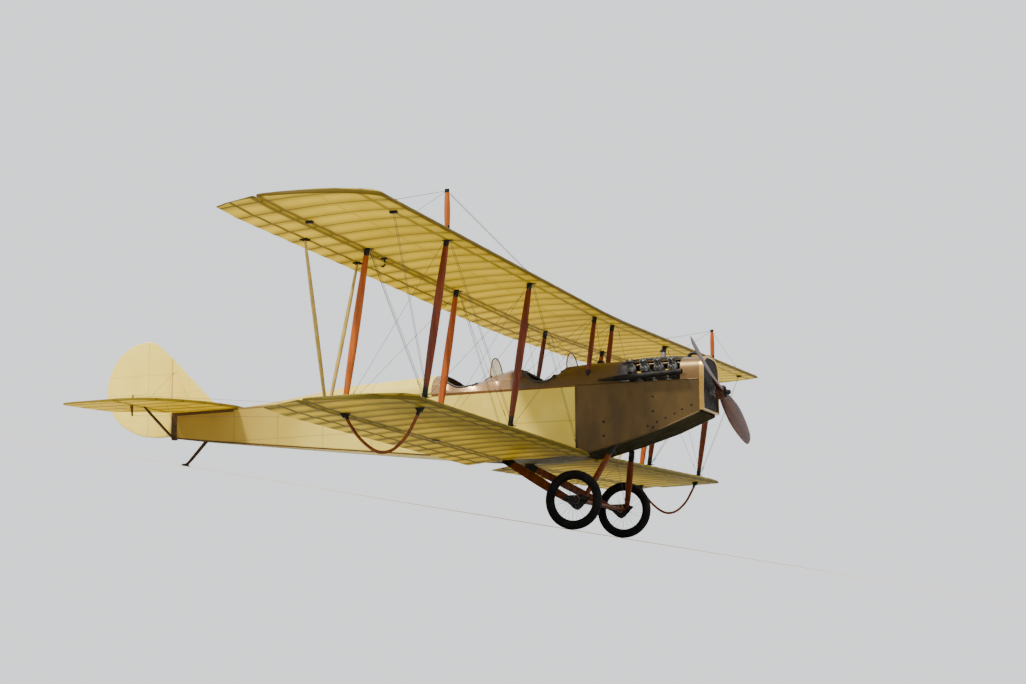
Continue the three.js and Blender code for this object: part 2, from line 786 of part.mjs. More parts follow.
const STICK_LEAN = 15;
const sticks = (() => {
  const tubeZ = 620;
  const tube = bar(new THREE.Vector3(-430, 0, tubeZ), new THREE.Vector3(-1400, 0, tubeZ + 20), 16);
  const places = [-470, -1350];
  const levers = places.map((x) =>
    bar(new THREE.Vector3(x, 0, tubeZ), new THREE.Vector3(x + STICK_LEAN, 0, 1080), 13, 8, 10),
  );
  const grips = places.map((x) =>
    bar(new THREE.Vector3(x + STICK_LEAN, 0, 1070), new THREE.Vector3(x + STICK_LEAN + 4, 0, 1190), 17, 8),
  );
  const blocks = places.map((x) => box(x - 25, x + 25, -35, 35, belly(x) + 15 + 1.2, tubeZ + 10));
  const floor = bottomPanel(FIREWALL_X, COCKPIT_END_X, SIDE_WALL, 15).translate(0, 0, SEAT);
  return cut(joined(tube, ...levers, ...grips, ...blocks), floor);
})();
add('control_sticks', sticks, 'darkWood');

// Nose hood, with a narrow top panel that runs back between the cylinder banks
const HOOD_BACK = 1085;
const HOOD_POWER = 3.4;
const HOOD_WALL = 10;
const SPINE_HALF_WIDTH = 95;
function squareArch(power) {
  return Array.from({ length: 13 }, (_, step) => {
    const turn = (Math.PI * step) / 12;
    const across = Math.sign(Math.cos(turn)) * Math.abs(Math.cos(turn)) ** (2 / power);
    return [across, Math.max(0, Math.sin(turn)) ** (2 / power)];
  });
}
const hood = (() => {
  const arch = polygon(squareArch(HOOD_POWER));
  const outer = loft(arch, [RADIATOR_BACK, HOOD_BACK], (u, v, x) => [
    x,
    u * halfWidth(x),
    LONGERON_Z + GAP + v * (deckHeight(x) - GAP),
  ]);
  const inner = loft(arch, [RADIATOR_BACK + 10, HOOD_BACK - 10], (u, v, x) => [
    x,
    u * (halfWidth(x) - HOOD_WALL),
    LONGERON_Z + GAP + (v > 0 ? v * (deckHeight(x) - GAP - HOOD_WALL) : -10),
  ]);
  const top = LONGERON_Z + deckHeight(TANK_END_X);
  const half = SPINE_HALF_WIDTH;
  const spine = box(TANK_END_X + GAP, HOOD_BACK + 20, -half, half, top - 32, top - 20);
  return joined(cut(outer, inner), spine);
})();
add('nose_hood', hood, 'deck');

// Radiator: a shell with a rounded top, its core set back in the front, and a hole for the shaft
const RADIATOR_DEPTH = 16;
const RADIATOR_FRAME = 18;
const SHAFT_RADIUS = 34;
function radiatorOutline(inset) {
  const half = halfWidth(RADIATOR_FRONT) - inset;
  const foot = belly(RADIATOR_FRONT) + inset;
  const arch = squareArch(HOOD_POWER).map(([u, v]) => [
    u * half,
    LONGERON_Z + v * (deckHeight(RADIATOR_FRONT) - inset),
  ]);
  return polygon([...arch, [-half, foot], [half, foot]]);
}
const radiator = (() => {
  const along = (y, z, x) => [x, y, z];
  const block = loft(radiatorOutline(0), [RADIATOR_BACK + GAP, RADIATOR_FRONT], along);
  const recess = [RADIATOR_FRONT - RADIATOR_DEPTH, RADIATOR_FRONT + 20];
  const face = loft(radiatorOutline(RADIATOR_FRAME), recess, along);
  const centre = new THREE.Vector3(RADIATOR_BACK - 50, 0, CRANK_Z);
  const hole = bar(centre, new THREE.Vector3(RADIATOR_FRONT + 50, 0, CRANK_Z), SHAFT_RADIUS + 14, 20);
  return cut(block, face, hole);
})();
add('radiator', radiator, 'brass');

// Engine: crankcase block, shaft, and two banks of four upright cylinders at 45 degrees
const CYLINDERS = [500, 665, 830, 995];
const BANK_ANGLE = radians(45);
const CYLINDER_TOP = 470;
const HEAD_LENGTH = 62;
const PORT_HEIGHT = 400;
const PORT_REACH = 66;
const engine = (() => {
  const section = polygon([
    [-150, 1075],
    [150, 1075],
    [165, 1221],
    [190, 1330],
    [120, 1400],
    [-120, 1400],
    [-190, 1330],
    [-165, 1221],
  ]);
  const crankcase = loft(section, [360, 1180], (y, z, x) => [x, y, z]);
  const flange = new THREE.Vector3(PROPELLER_X - 54, 0, CRANK_Z);
  const shaft = bar(new THREE.Vector3(1150, 0, CRANK_Z), flange, SHAFT_RADIUS, 16);
  const bearers = [420, 1060].map((x) => {
    const reach = halfWidth(x) - METAL_WALL - 1;
    return box(x - 25, x + 25, -reach, reach, 1150, 1195);
  });
  const pieces = [];
  for (const x of CYLINDERS) {
    for (const side of [1, -1]) {
      const up = (height) => new THREE.Vector3(0, 0, height);
      const barrel = bar(up(100), up(CYLINDER_TOP - HEAD_LENGTH + 2), 56, 8);
      const head = bar(up(CYLINDER_TOP - HEAD_LENGTH), up(CYLINDER_TOP), 60, 8, 44);
      const port = box(-20, 20, 30, PORT_REACH, PORT_HEIGHT - 20, PORT_HEIGHT + 20);
      const whole = joined(barrel, head, port);
      pieces.push(onSide(whole.rotateX(-BANK_ANGLE).translate(x, 0, CRANK_Z), side));
    }
  }
  return joined(crankcase, shaft, ...bearers, ...pieces);
})();
add('engine', engine, 'steel');

// Exhaust pipes: one long taper each side, fed by a short stub from each cylinder
const EXHAUST_FRONT = new THREE.Vector3(1135, 0, 1433);
const EXHAUST_REAR = new THREE.Vector3(140, 0, 1388);
const EXHAUST_Y = 392;
const exhaust = (() => {
  const front = EXHAUST_FRONT.clone().setY(EXHAUST_Y);
  const middle = new THREE.Vector3(440, EXHAUST_Y, 1402);
  const rear = EXHAUST_REAR.clone().setY(EXHAUST_Y);
  const pipe = bar(middle, front, 33, 10, 30);
  const tail = bar(middle, rear, 33, 10, 12);
  const stubs = CYLINDERS.map((x) => {
    const start = new THREE.Vector3(0, PORT_REACH + GAP, PORT_HEIGHT);
    start.applyAxisAngle(new THREE.Vector3(1, 0, 0), -BANK_ANGLE).add(new THREE.Vector3(x, 0, CRANK_Z));
    const end = start.clone().add(new THREE.Vector3(0, Math.SQRT1_2, -Math.SQRT1_2).multiplyScalar(62));
    return bar(start, end, 19, 8);
  });
  return joined(pipe, tail, ...stubs);
})();
for (const [sideName, side] of Object.entries(SIDES)) {
  add(`exhaust_${sideName}`, onSide(exhaust, side), 'exhaust');
}

// Propeller, two blades and a hub. Columns: radius, chord, thickness, pitch angle in degrees.
const BLADE = [
  [30, 90, 70, 60],
  [140, 125, 62, 50],
  [330, 175, 42, 36],
  [600, 225, 30, 25],
  [880, 215, 22, 19],
  [1090, 175, 15, 16],
  [1200, 125, 11, 15],
  [PROPELLER_RADIUS, 60, 7, 14],
];
const BLADE_SECTION = polygon([
  [0.5, 0],
  [0.3, 0.42],
  [0, 0.5],
  [-0.3, 0.36],
  [-0.5, 0],
  [-0.3, -0.12],
  [0.3, -0.12],
]);
const propeller = (() => {
  const blade = loft(BLADE_SECTION, BLADE, (u, v, [radius, chord, thickness, degrees]) => {
    const pitch = radians(degrees);
    const along = u * chord * Math.sin(pitch) + v * thickness * Math.cos(pitch);
    const across = u * chord * Math.cos(pitch) - v * thickness * Math.sin(pitch);
    return [along, radius, across];
  });
  const hub = bar(new THREE.Vector3(-53.6, 0, 0), new THREE.Vector3(46, 0, 0), 82, 20);
  const nut = bar(new THREE.Vector3(40, 0, 0), new THREE.Vector3(111, 0, 0), 38, 12, 18);
  const other = blade.clone().rotateX(Math.PI);
  return joined(blade, other, hub, nut).rotateX(-PROPELLER_TURN).translate(PROPELLER_X, 0, CRANK_Z);
})();
add('propeller', propeller, 'wood');

// Cabane struts that carry the upper wing over the fuselage, tied by crossed wires
// Columns: head distance behind the leading edge, foot x, foot z.
const CABANE = [
  [FRONT_SPAR, -20, 1455],
  [REAR_SPAR, -885, 1500],
];
const CABANE_HEAD_Y = 310;
const CABANE_FOOT_Y = 318;
const CABANE_BREADTH = 62;
const CABANE_THICKNESS = 30;
const cabane = (() => {
  const shells = [frontShell.outer, rearShell.outer];
  const decks = [SEAT, -SEAT].flatMap((shift) =>
    shells.map((deck) => deck.clone().translate(0, shift, SEAT)),
  );
  const legs = CABANE.map(([behind, footX, footZ]) => ({
    foot: new THREE.Vector3(footX, CABANE_FOOT_Y, footZ - 40),
    head: new THREE.Vector3(...wingPoint(UPPER, CABANE_HEAD_Y, behind, 30)),
  }));
  const [front, rear] = legs;
  const low = 0.3;
  const high = 0.94;
  const at = ({ foot, head }, share) => foot.clone().lerp(head, share);
  const half = [
    ...legs.map(({ foot, head }) => strut(foot, head, CABANE_BREADTH, CABANE_THICKNESS)),
    bar(at(front, low), at(rear, high), WIRE, 4),
    bar(at(rear, low), at(front, high), WIRE, 4),
  ];
  const crossed = [1, -1].map((side) => {
    const lower = at(front, low + 0.12);
    const upper = at(front, high);
    lower.y *= side;
    upper.y *= -side;
    return bar(lower, upper, WIRE, 4);
  });
  return cut(joined(...half, ...half.map(mirrored), ...crossed), upperTrim, ...decks);
})();
add('cabane', cabane, 'wood');

// Main lift and landing wires of each side, in the plane just ahead of the front struts
const OVERHANG_FITTING = 5780;
const stays = (() => {
  const behind = FRONT_SPAR - 30.5;
  const low = (y) => new THREE.Vector3(...wingPoint(LOWER, y, behind, 102));
  const high = (y) => new THREE.Vector3(...wingPoint(UPPER, y, behind, -9));
  const ends = [
    [low(LOWER.root + 20), high(INNER_STRUT)],
    [high(CENTRE_SECTION + 20), low(INNER_STRUT)],
    [low(INNER_STRUT), high(OUTER_STRUT)],
    [high(INNER_STRUT), low(OUTER_STRUT)],
    [low(OUTER_STRUT), high(OVERHANG_FITTING)],
  ];
  return cut(joined(...ends.map(([from, to]) => bar(from, to, WIRE, 4))), upperTrim, lowerTrim);
})();
for (const [sideName, side] of Object.entries(SIDES)) {
  add(`main_stays_${sideName}`, onSide(stays, side), 'steel');
}

// Undercarriage: a V of struts each side, a plate at its foot, and the axle between
const GEAR_FOOT_Y = 760;
const GEAR_TOP_Y = 322;
const PLATE_THICKNESS = 14;
// Columns: top x, top z, foot x, breadth, thickness.
const GEAR_STRUTS = [
  [292, 640, 70, 78, 38],
  [-1040, 540, -85, 118, 40],
];
const gearLeg = (() => {
  const struts = GEAR_STRUTS.map(([topX, topZ, footX, breadth, thickness]) => {
    const top = new THREE.Vector3(topX, GEAR_TOP_Y, topZ);
    return strut(new THREE.Vector3(footX, GEAR_FOOT_Y, 0), top, breadth, thickness);
  });
  const outline = polygon([
    [150, 30],
    [60, 62],
    [-110, 62],
    [-165, 40],
    [-8, -105],
    [8, -105],
  ]);
  const plate = sidePlate(outline, GEAR_FOOT_Y - PLATE_THICKNESS / 2, GEAR_FOOT_Y + PLATE_THICKNESS / 2);
  const bore = bar(new THREE.Vector3(0, 600, 0), new THREE.Vector3(0, 900, 0), AXLE_RADIUS + GAP, 16);
  const spreaderRoom = box(-66, 66, 600, GEAR_FOOT_Y - PLATE_THICKNESS / 2, -24, 24);
  const trims = [bottomSolid(), lowerTrimBelow];
  return cut(joined(...struts, plate), bore, spreaderRoom, ...trims);
})();

// The fuselage's lower half as one block, lowered by the seating gap, to trim the gear struts' heads.
function bottomSolid() {
  const xs = [1357, -2500];
  const outline = polygon([...bellyLine(...xs), [-2500, 1300], [1357, 1300]]);
  return loft(outline, [-352.4, 352.4], (x, z, y) => [x, y, z - SEAT]);
}

for (const [sideName, side] of Object.entries(SIDES)) {
  add(`gear_leg_${sideName}`, onSide(gearLeg, side), 'wood');
}

const HUB_HALF = 62;
const AXLE_END = HALF_TRACK + HUB_HALF + 14;
const axle = (() => {
  const tube = bar(new THREE.Vector3(0, -AXLE_END, 0), new THREE.Vector3(0, AXLE_END, 0), AXLE_RADIUS, 16);
  const reach = GEAR_FOOT_Y - PLATE_THICKNESS / 2 - GAP;
  const fairing = loft(STREAMLINE, [-reach, reach], (u, v, y) => [u * 130, y, v * 46]);
  return joined(tube, fairing);
})();
add('axle', axle, 'wood');

// Wheels with wire spokes
const RIM_OUTER = 250;
const RIM_INNER = 232;
const HUB_RADIUS = 34;
const SPOKES = 16;
const AROUND = 32;
function turned(points, segments = AROUND) {
  const geometry = new THREE.LatheGeometry(points.map(([r, y]) => new THREE.Vector2(r, y)), segments);
  return closed(geometry);
}
const wheel = (() => {
  const rim = turned([
    [RIM_INNER, -30],
    [RIM_OUTER, -36],
    [RIM_OUTER, 36],
    [RIM_INNER, 30],
    [RIM_INNER, -30],
  ]);
  const bore = AXLE_RADIUS + 0.9;
  const hub = turned([
    [bore, -HUB_HALF],
    [HUB_RADIUS, -HUB_HALF],
    [HUB_RADIUS, HUB_HALF],
    [bore, HUB_HALF],
    [bore, -HUB_HALF],
  ], 16);
  const spokes = Array.from({ length: SPOKES }, (_, i) => {
    const turn = (2 * Math.PI * i) / SPOKES;
    const lean = turn + (i % 4 < 2 ? 0.28 : -0.28);
    const end = i % 2 ? 50 : -50;
    const inner = new THREE.Vector3(29 * Math.cos(turn), end, 29 * Math.sin(turn));
    const outer = new THREE.Vector3(240 * Math.cos(lean), 0, 240 * Math.sin(lean));
    return bar(inner, outer, 3, 3);
  });
  return joined(rim, hub, ...spokes);
})();
const tyre = (() => {
  const steps = 9;
  const half = radians(125);
  const crown = WHEEL_RADIUS - TYRE_SECTION;
  const profile = Array.from({ length: steps + 1 }, (_, i) => {
    const turn = -half + (2 * half * i) / steps;
    return [crown + TYRE_SECTION * Math.cos(turn), TYRE_SECTION * Math.sin(turn)];
  });
  const seated = profile.map(([r, y]) => [Math.max(r, RIM_OUTER + GAP), y]);
  return turned([...seated, seated[0]]);
})();
for (const [sideName, side] of Object.entries(SIDES)) {
  for (const [name, geometry, material] of [['wheel', wheel, 'steel'], ['tyre', tyre, 'rubber']]) {
    const mesh = new THREE.Mesh(geometry, materials[material]);
    mesh.name = `${name}_${sideName}`;
    mesh.position.set(0, side * HALF_TRACK, 0);
    airframe.add(mesh);
  }
}

// Tail unit
const TAIL_THICKNESS = 36;
const EDGE = 11;
const ELEVATOR_GAP = 14;
const ELEVATOR_NOSE = 18;
const ELEVATOR_HINGES = [180, 660, 1140];
const ELEVATOR_KNUCKLE = 19.3;

const tailplane = (() => {
  const shape = new THREE.Shape();
  const back = TAIL_HINGE_X + ELEVATOR_GAP + ELEVATOR_NOSE;
  shape.moveTo(back, -TAIL_HALF_SPAN);
  shape.lineTo(back, TAIL_HALF_SPAN);
  shape.bezierCurveTo(-5330, TAIL_HALF_SPAN, -5000, 1000, -4860, 700);
  shape.lineTo(-4700, 170);
  shape.lineTo(-4700, -170);
  shape.lineTo(-4860, -700);
  shape.bezierCurveTo(-5000, -1000, -5330, -TAIL_HALF_SPAN, back, -TAIL_HALF_SPAN);
  const plate = levelPlate(shape, TAILPLANE_Z - TAIL_THICKNESS / 2, TAILPLANE_Z + TAIL_THICKNESS / 2, EDGE);
  const foot = TAIL_HINGE_X + ELEVATOR_KNUCKLE + GAP;
  const lugs = ELEVATOR_HINGES.flatMap((y) => [y, -y]).map((y) =>
    lug(foot, back + LUG_ROOT, y, TAILPLANE_Z),
  );
  return joined(plate, ...lugs);
})();
const deckTrim = rearFuselage.clone().translate(0, 0, SEAT);
add('tailplane', cut(tailplane, deckTrim), 'fabric');

const elevator = (() => {
  const shape = new THREE.Shape();
  const front = TAIL_HINGE_X + ELEVATOR_NOSE;
  shape.moveTo(front, 66);
  shape.lineTo(front, TAIL_HALF_SPAN);
  shape.lineTo(-6250, TAIL_HALF_SPAN - 10);
  shape.quadraticCurveTo(-6520, TAIL_HALF_SPAN - 20, -6500, TAIL_HALF_SPAN - 170);
  shape.lineTo(-6370, 430);
  shape.lineTo(-5775, 92);
  const plate = levelPlate(shape, TAILPLANE_Z - 17, TAILPLANE_Z + 17, EDGE);
  const horn = box(TAIL_HINGE_X - 24, TAIL_HINGE_X + 2, 872, 886, TAILPLANE_Z - 120, TAILPLANE_Z + 120);
  const across = new THREE.Vector3(0, 1, 0);
  const knuckles = ELEVATOR_HINGES.map((y) =>
    knuckle(new THREE.Vector3(TAIL_HINGE_X, y, TAILPLANE_Z), across, ELEVATOR_KNUCKLE),
  );
  return joined(plate, horn, ...knuckles);
})();
for (const [sideName, side] of Object.entries(SIDES)) {
  add(`elevator_${sideName}`, onSide(elevator, side), 'fabric');
}

const FIN_HALF = 15;
const RUDDER_HALF = 14;
const RUDDER_KNUCKLE = 15.6;
const STERN_HINGE_Z = 1200;
const FIN_HINGE_Z = 1780;
function rudderLug(z) {
  const foot = TAIL_HINGE_X + RUDDER_KNUCKLE + GAP;
  const flat = lug(foot, STERNPOST_X + LUG_ROOT, 0, 0);
  return flat.rotateX(Math.PI / 2).translate(0, 0, z);
}
const fin = (() => {
  const foot = TAILPLANE_Z + TAIL_THICKNESS / 2 + SEAT;
  const shape = polygon([
    [STERNPOST_X, foot],
    [-5030, foot],
    [STERNPOST_X, 2050],
  ]);
  return joined(sidePlate(shape, -FIN_HALF, FIN_HALF, 8), rudderLug(FIN_HINGE_Z));
})();
add('fin', fin, 'fin');

const rudder = (() => {
  const front = TAIL_HINGE_X + RUDDER_HALF;
  const shape = new THREE.Shape();
  shape.moveTo(front, 2058);
  shape.lineTo(front, 1058);
  shape.lineTo(-5900, 1055);
  shape.splineThru([
    new THREE.Vector2(-6140, 1088),
    new THREE.Vector2(-6510, 1300),
    new THREE.Vector2(-6668, 1690),
    new THREE.Vector2(-6500, 2110),
    new THREE.Vector2(-6090, 2296),
    new THREE.Vector2(-5850, 2185),
  ]);
  const upright = new THREE.Vector3(0, 0, 1);
  const knuckles = [STERN_HINGE_Z, FIN_HINGE_Z].map((z) =>
    knuckle(new THREE.Vector3(TAIL_HINGE_X, 0, z), upright, RUDDER_KNUCKLE),
  );
  return joined(sidePlate(shape, -RUDDER_HALF, RUDDER_HALF, 8), ...knuckles);
})();
add('rudder', rudder, 'fin');

const BRACE_BREADTH = 52;
const BRACE_THICKNESS = 30;
const tailBraces = (() => {
  const head = new THREE.Vector3(STERNPOST_X + 40, 760, TAILPLANE_Z - 10);
  const foot = new THREE.Vector3(STERNPOST_X + 26, 20, 1028);
  const brace = strut(foot, head, BRACE_BREADTH, BRACE_THICKNESS);
  const block = box(STERNPOST_X + 2, STERNPOST_X + 54, -34, 34, 1016, 1052);
  const under = tailplane.clone().translate(0, 0, -SEAT);
  return cut(joined(brace, mirrored(brace), block), under, rearFuselage.clone().translate(0, 0, -SEAT));
})();
add('tail_braces', tailBraces, 'darkWood');

// Nose-up angle at which both the tyres and the tail skid stand on the floor
const reach = Math.hypot(SKID_TIP.x, SKID_TIP.z);
const PARKED_ANGLE = Math.asin(WHEEL_RADIUS / reach) + Math.atan2(SKID_TIP.z, -SKID_TIP.x);

const SKID_BREADTH = 78;
const SKID_THICKNESS = 48;
const tailSkid = (() => {
  const head = new THREE.Vector3(-5180, 0, 1000);
  const ankle = SKID_TIP.clone().add(new THREE.Vector3(12, 0, 18));
  const leg = strut(ankle, head, SKID_BREADTH, SKID_THICKNESS);
  const shoe = box(-62, 38, -28, 28, 0, 14).rotateY(PARKED_ANGLE).translate(...SKID_TIP);
  return cut(joined(leg, shoe), rearFuselage.clone().translate(0, 0, -SEAT));
})();
add('tail_skid', tailSkid, 'darkWood');

// The airframe pitched nose-up about the axle, and moved so that the floor is z = 0
airframe.rotation.y = -PARKED_ANGLE;
airframe.position.set(-BBOX_CENTRE_X, 0, WHEEL_RADIUS);

const biplane = new THREE.Group();
biplane.add(airframe);

export default biplane;
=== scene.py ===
# %% [markdown]
# A two-seat trainer biplane of wood, wire and doped linen, dressed for a close look.
# The solids of the frame fix every size and place. This lesson gives them their real surfaces: linen that
# sags between its ribs, varnished struts, a bronzed cowl, wire wheels, an open engine and the rigging.
# The aeroplane stands parked on its wheels and its tail skid, so it is pitched nose-up. It is easier to
# build its pieces level and to tip each one over at the end, with one matrix.
# %% The frame and the parked attitude
import json
import math

import bmesh
import bpy
from mathutils import Matrix, Vector
from mathutils.geometry import interpolate_bezier
from mathutils.kdtree import KDTree


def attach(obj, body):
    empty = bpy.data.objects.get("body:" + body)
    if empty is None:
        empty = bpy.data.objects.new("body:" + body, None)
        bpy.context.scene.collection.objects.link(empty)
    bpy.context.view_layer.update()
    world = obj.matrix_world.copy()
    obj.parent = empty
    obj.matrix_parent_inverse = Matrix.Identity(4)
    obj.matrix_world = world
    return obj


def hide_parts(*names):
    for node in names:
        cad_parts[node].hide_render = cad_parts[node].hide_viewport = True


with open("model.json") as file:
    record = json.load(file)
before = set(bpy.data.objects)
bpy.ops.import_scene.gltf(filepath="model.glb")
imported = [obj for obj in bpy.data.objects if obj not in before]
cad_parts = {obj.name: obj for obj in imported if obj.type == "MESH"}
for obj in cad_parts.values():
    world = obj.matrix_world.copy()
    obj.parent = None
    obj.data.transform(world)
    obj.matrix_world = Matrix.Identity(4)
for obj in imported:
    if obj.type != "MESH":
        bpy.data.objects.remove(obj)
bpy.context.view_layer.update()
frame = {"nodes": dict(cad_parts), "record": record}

WHEEL_RADIUS = 0.330
SKID_BACK = 5.485
SKID_UP = 0.681
AXLE_FORWARD = 2.766
PARKED = math.asin(WHEEL_RADIUS / math.hypot(SKID_BACK, SKID_UP)) + math.atan2(SKID_UP, SKID_BACK)
TO_FLOOR = Matrix.Translation((AXLE_FORWARD, 0, WHEEL_RADIUS)) @ Matrix.Rotation(-PARKED, 4, "Y")
SIDES = {"port": 1, "starboard": -1}

# %% [markdown]
# The driving sizes are those of the solids, in metres, in the level frame: x runs to the nose, y to port,
# z up, and the origin is the middle of the wheels' axle.
# %% Driving sizes
CHORD = 1.511
INCIDENCE = math.radians(2.0)
DIHEDRAL = math.radians(1.2)
FRONT_SPAR = 0.174
REAR_SPAR = 1.018
AILERON_HINGE = 1.095
AILERON_SPAR = 1.347
AILERON_ROOT = 3.030
HINGE_HEIGHT = 0.029
RIB_PITCH = 0.334
INNER_STRUT = 2.355
OUTER_STRUT = 4.526
UPPER = {"edge_x": 0.256, "edge_z": 2.137, "flat": 0.380, "root": 0.3803, "span": 6.645}
LOWER = {"edge_x": 0.013, "edge_z": 0.540, "flat": 0.3526, "root": 0.3526, "span": 5.300}
LONGERON_Z = 1.355
CRANK_Z = 1.221
PROPELLER_X = 1.474
HALF_TRACK = 0.869
TAIL_HINGE_X = -5.716
TAILPLANE_Z = 1.378
# Bottom line of the fuselage: x, height.
BELLY = [
    (1.357, 1.000), (0.870, 0.808), (0.440, 0.680), (0, 0.572), (-0.600, 0.534),
    (-1.100, 0.540), (-1.960, 0.622), (-3.500, 0.788), (-5.200, 0.975), (-5.690, 1.040),
]
# Half width of the fuselage: x, half width.
BREADTH = [(1.357, 0.313), (-0.160, 0.352), (-1.960, 0.352), (-5.690, 0.028)]
# Height of the decking over the longerons: x, height.
DECKING = [
    (1.357, 0.272), (0.350, 0.288), (-0.070, 0.282), (-0.300, 0.262), (-0.355, 0.222), (-0.430, 0.186),
    (-0.560, 0.186), (-0.720, 0.228), (-0.885, 0.262), (-1.025, 0.268), (-1.076, 0.248), (-1.150, 0.231),
    (-1.278, 0.200), (-1.371, 0.152), (-1.440, 0.140), (-1.560, 0.150), (-1.700, 0.215), (-1.880, 0.250),
    (-1.960, 0.255), (-3.100, 0.205), (-4.200, 0.062), (-4.700, 0.012), (-5.690, 0.006),
]


def look_up(table, x):
    """The table's second column at x, on straight lines between its rows."""
    rows = sorted(table)
    if x <= rows[0][0]:
        return rows[0][1]
    for (x0, low), (x1, high) in zip(rows, rows[1:]):
        if x <= x1:
            return low + (high - low) * (x - x0) / (x1 - x0)
    return rows[-1][1]


def wing_point(wing, y, behind, height):
    """A point of a wing, from its distance behind the leading edge and its height over the chord line."""
    rise = max(0, abs(y) - wing["flat"]) * math.tan(DIHEDRAL)
    x = wing["edge_x"] - behind * math.cos(INCIDENCE) + height * math.sin(INCIDENCE)
    z = wing["edge_z"] + rise - behind * math.sin(INCIDENCE) + height * math.cos(INCIDENCE)
    return Vector((x, y, z))


print("front spar over the inner strut", wing_point(UPPER, INNER_STRUT, FRONT_SPAR, 0))

# %% [markdown]
# Most pieces are long and thin, or are turned, or are carried along a line of sections. Small helpers make
# these with bmesh operators: a rod, a turned ring, a skin over sections and a bent tube.
# %% Helpers that shape a mesh
SMOOTH_UNDER = math.radians(32)


def rod(bm, start, end, radius, sides, end_radius=None):
    """A straight round bar from start to end."""
    start = Vector(start)
    end = Vector(end)
    turn = (end - start).to_track_quat("Z", "Y").to_matrix().to_4x4()
    bmesh.ops.create_cone(
        bm, cap_ends=True, segments=sides, radius1=radius, depth=(end - start).length,
        radius2=radius if end_radius is None else end_radius,
        matrix=Matrix.Translation((start + end) / 2) @ turn,
    )


def loop_through(bm, points):
    """A closed loop of edges through the points."""
    verts = [bm.verts.new(point) for point in points]
    return [bm.edges.new(pair) for pair in zip(verts, verts[1:] + verts[:1])]


def skin(bm, sections, joined=False):
    """A closed body carried through sections of equally many points. joined: back to the start."""
    edges = loop_through(bm, sections[0])
    first = edges
    verts = [edge.verts[0] for edge in edges]
    for section in sections[1:]:
        made = bmesh.ops.extrude_edge_only(bm, edges=edges)["geom"]
        fresh = {part for part in made if isinstance(part, bmesh.types.BMVert)}
        verts = [next(e.other_vert(v) for e in v.link_edges if e.other_vert(v) in fresh) for v in verts]
        for vert, point in zip(verts, section):
            vert.co = point
        made_edges = [part for part in made if isinstance(part, bmesh.types.BMEdge)]
        edges = [edge for edge in made_edges if fresh.issuperset(edge.verts)]
    if joined:
        bmesh.ops.bridge_loops(bm, edges=first + edges)
    else:
        bmesh.ops.edgeloop_fill(bm, edges=first)
        bmesh.ops.edgeloop_fill(bm, edges=edges)


def curved(points, steps, closed=False):
    """Points of a smooth curve that passes through the given points."""
    points = [Vector(point).to_3d() for point in points]
    count = len(points)
    line = []
    for i in range(count if closed else count - 1):
        here = points[i]
        there = points[(i + 1) % count]
        before = points[i - 1] if closed or i else here
        after = points[(i + 2) % count] if closed or i + 2 < count else there
        line += interpolate_bezier(
            here, here + (there - before) / 6, there - (after - here) / 6, there, steps + 1
        )[:-1]
    return line if closed else line + [points[-1]]


def turned(bm, profile, centre, axis="Y", steps=64):
    """A ring turned from a closed profile of (radius, distance along the axis)."""
    along = {"X": Vector((1, 0, 0)), "Y": Vector((0, 1, 0)), "Z": Vector((0, 0, 1))}[axis]
    out = Vector((0, 0, 1)) if axis != "Z" else Vector((1, 0, 0))
    points = [Vector(centre) + out * radius + along * reach for radius, reach in profile]
    edges = loop_through(bm, points)
    verts = list({vert for edge in edges for vert in edge.verts})
    bmesh.ops.spin(
        bm, geom=verts + edges, cent=centre, axis=along, angle=math.tau, steps=steps,
        use_merge=True,
    )


def evenly_round(count):
    """Angles evenly spaced round a circle."""
    return [math.tau * i / count for i in range(count)]


def circle_at(centre, along, radius, sides):
    """Points of a circle that faces along a direction."""
    turn = Vector(along).to_track_quat("Z", "Y").to_matrix()
    return [
        Vector(centre) + turn @ Vector((radius * math.cos(a), radius * math.sin(a), 0))
        for a in evenly_round(sides)
    ]


def tube(bm, path, radius, sides):
    """A round tube along a bent path. radius: one number, or a list with one for each point."""
    path = [Vector(point) for point in path]
    radii = radius if isinstance(radius, list) else [radius] * len(path)
    before = [path[0]] + path[:-1]
    after = path[1:] + [path[-1]]
    skin(bm, [circle_at(p, b - a, size, sides) for a, p, b, size in zip(before, path, after, radii)])


def looped_tube(bm, path, radii, sides):
    """A round tube along a closed path, with a radius for each point."""
    before = path[-1:] + path[:-1]
    after = path[1:] + path[:1]
    rings = [circle_at(p, b - a, size, sides) for a, p, b, size in zip(before, path, after, radii)]
    skin(bm, rings, joined=True)


def ball(bm, centre, radius, squash, segments):
    """A small ball or button."""
    place = Matrix.Translation(centre) @ Matrix.Diagonal((*squash, 1))
    bmesh.ops.create_uvsphere(
        bm, u_segments=segments, v_segments=segments // 2 + 1, radius=radius, matrix=place,
    )


def block(bm, centre, size, turn=None):
    """A small block with its edges broken."""
    place = Matrix.Translation(centre) @ (turn or Matrix.Identity(4)) @ Matrix.Diagonal((*size, 1))
    made = bmesh.ops.create_cube(bm, size=1, matrix=place)
    edges = list({edge for vert in made["verts"] for edge in vert.link_edges})
    bmesh.ops.bevel(
        bm, geom=edges, offset=min(size) * 0.12, affect="EDGES", segments=2, profile=0.5, material=-1,
        clamp_overlap=True,
    )


def in_scene(name, data):
    """A new object in the scene."""
    made = bpy.data.objects.new(name, data)
    bpy.context.scene.collection.objects.link(made)
    return made


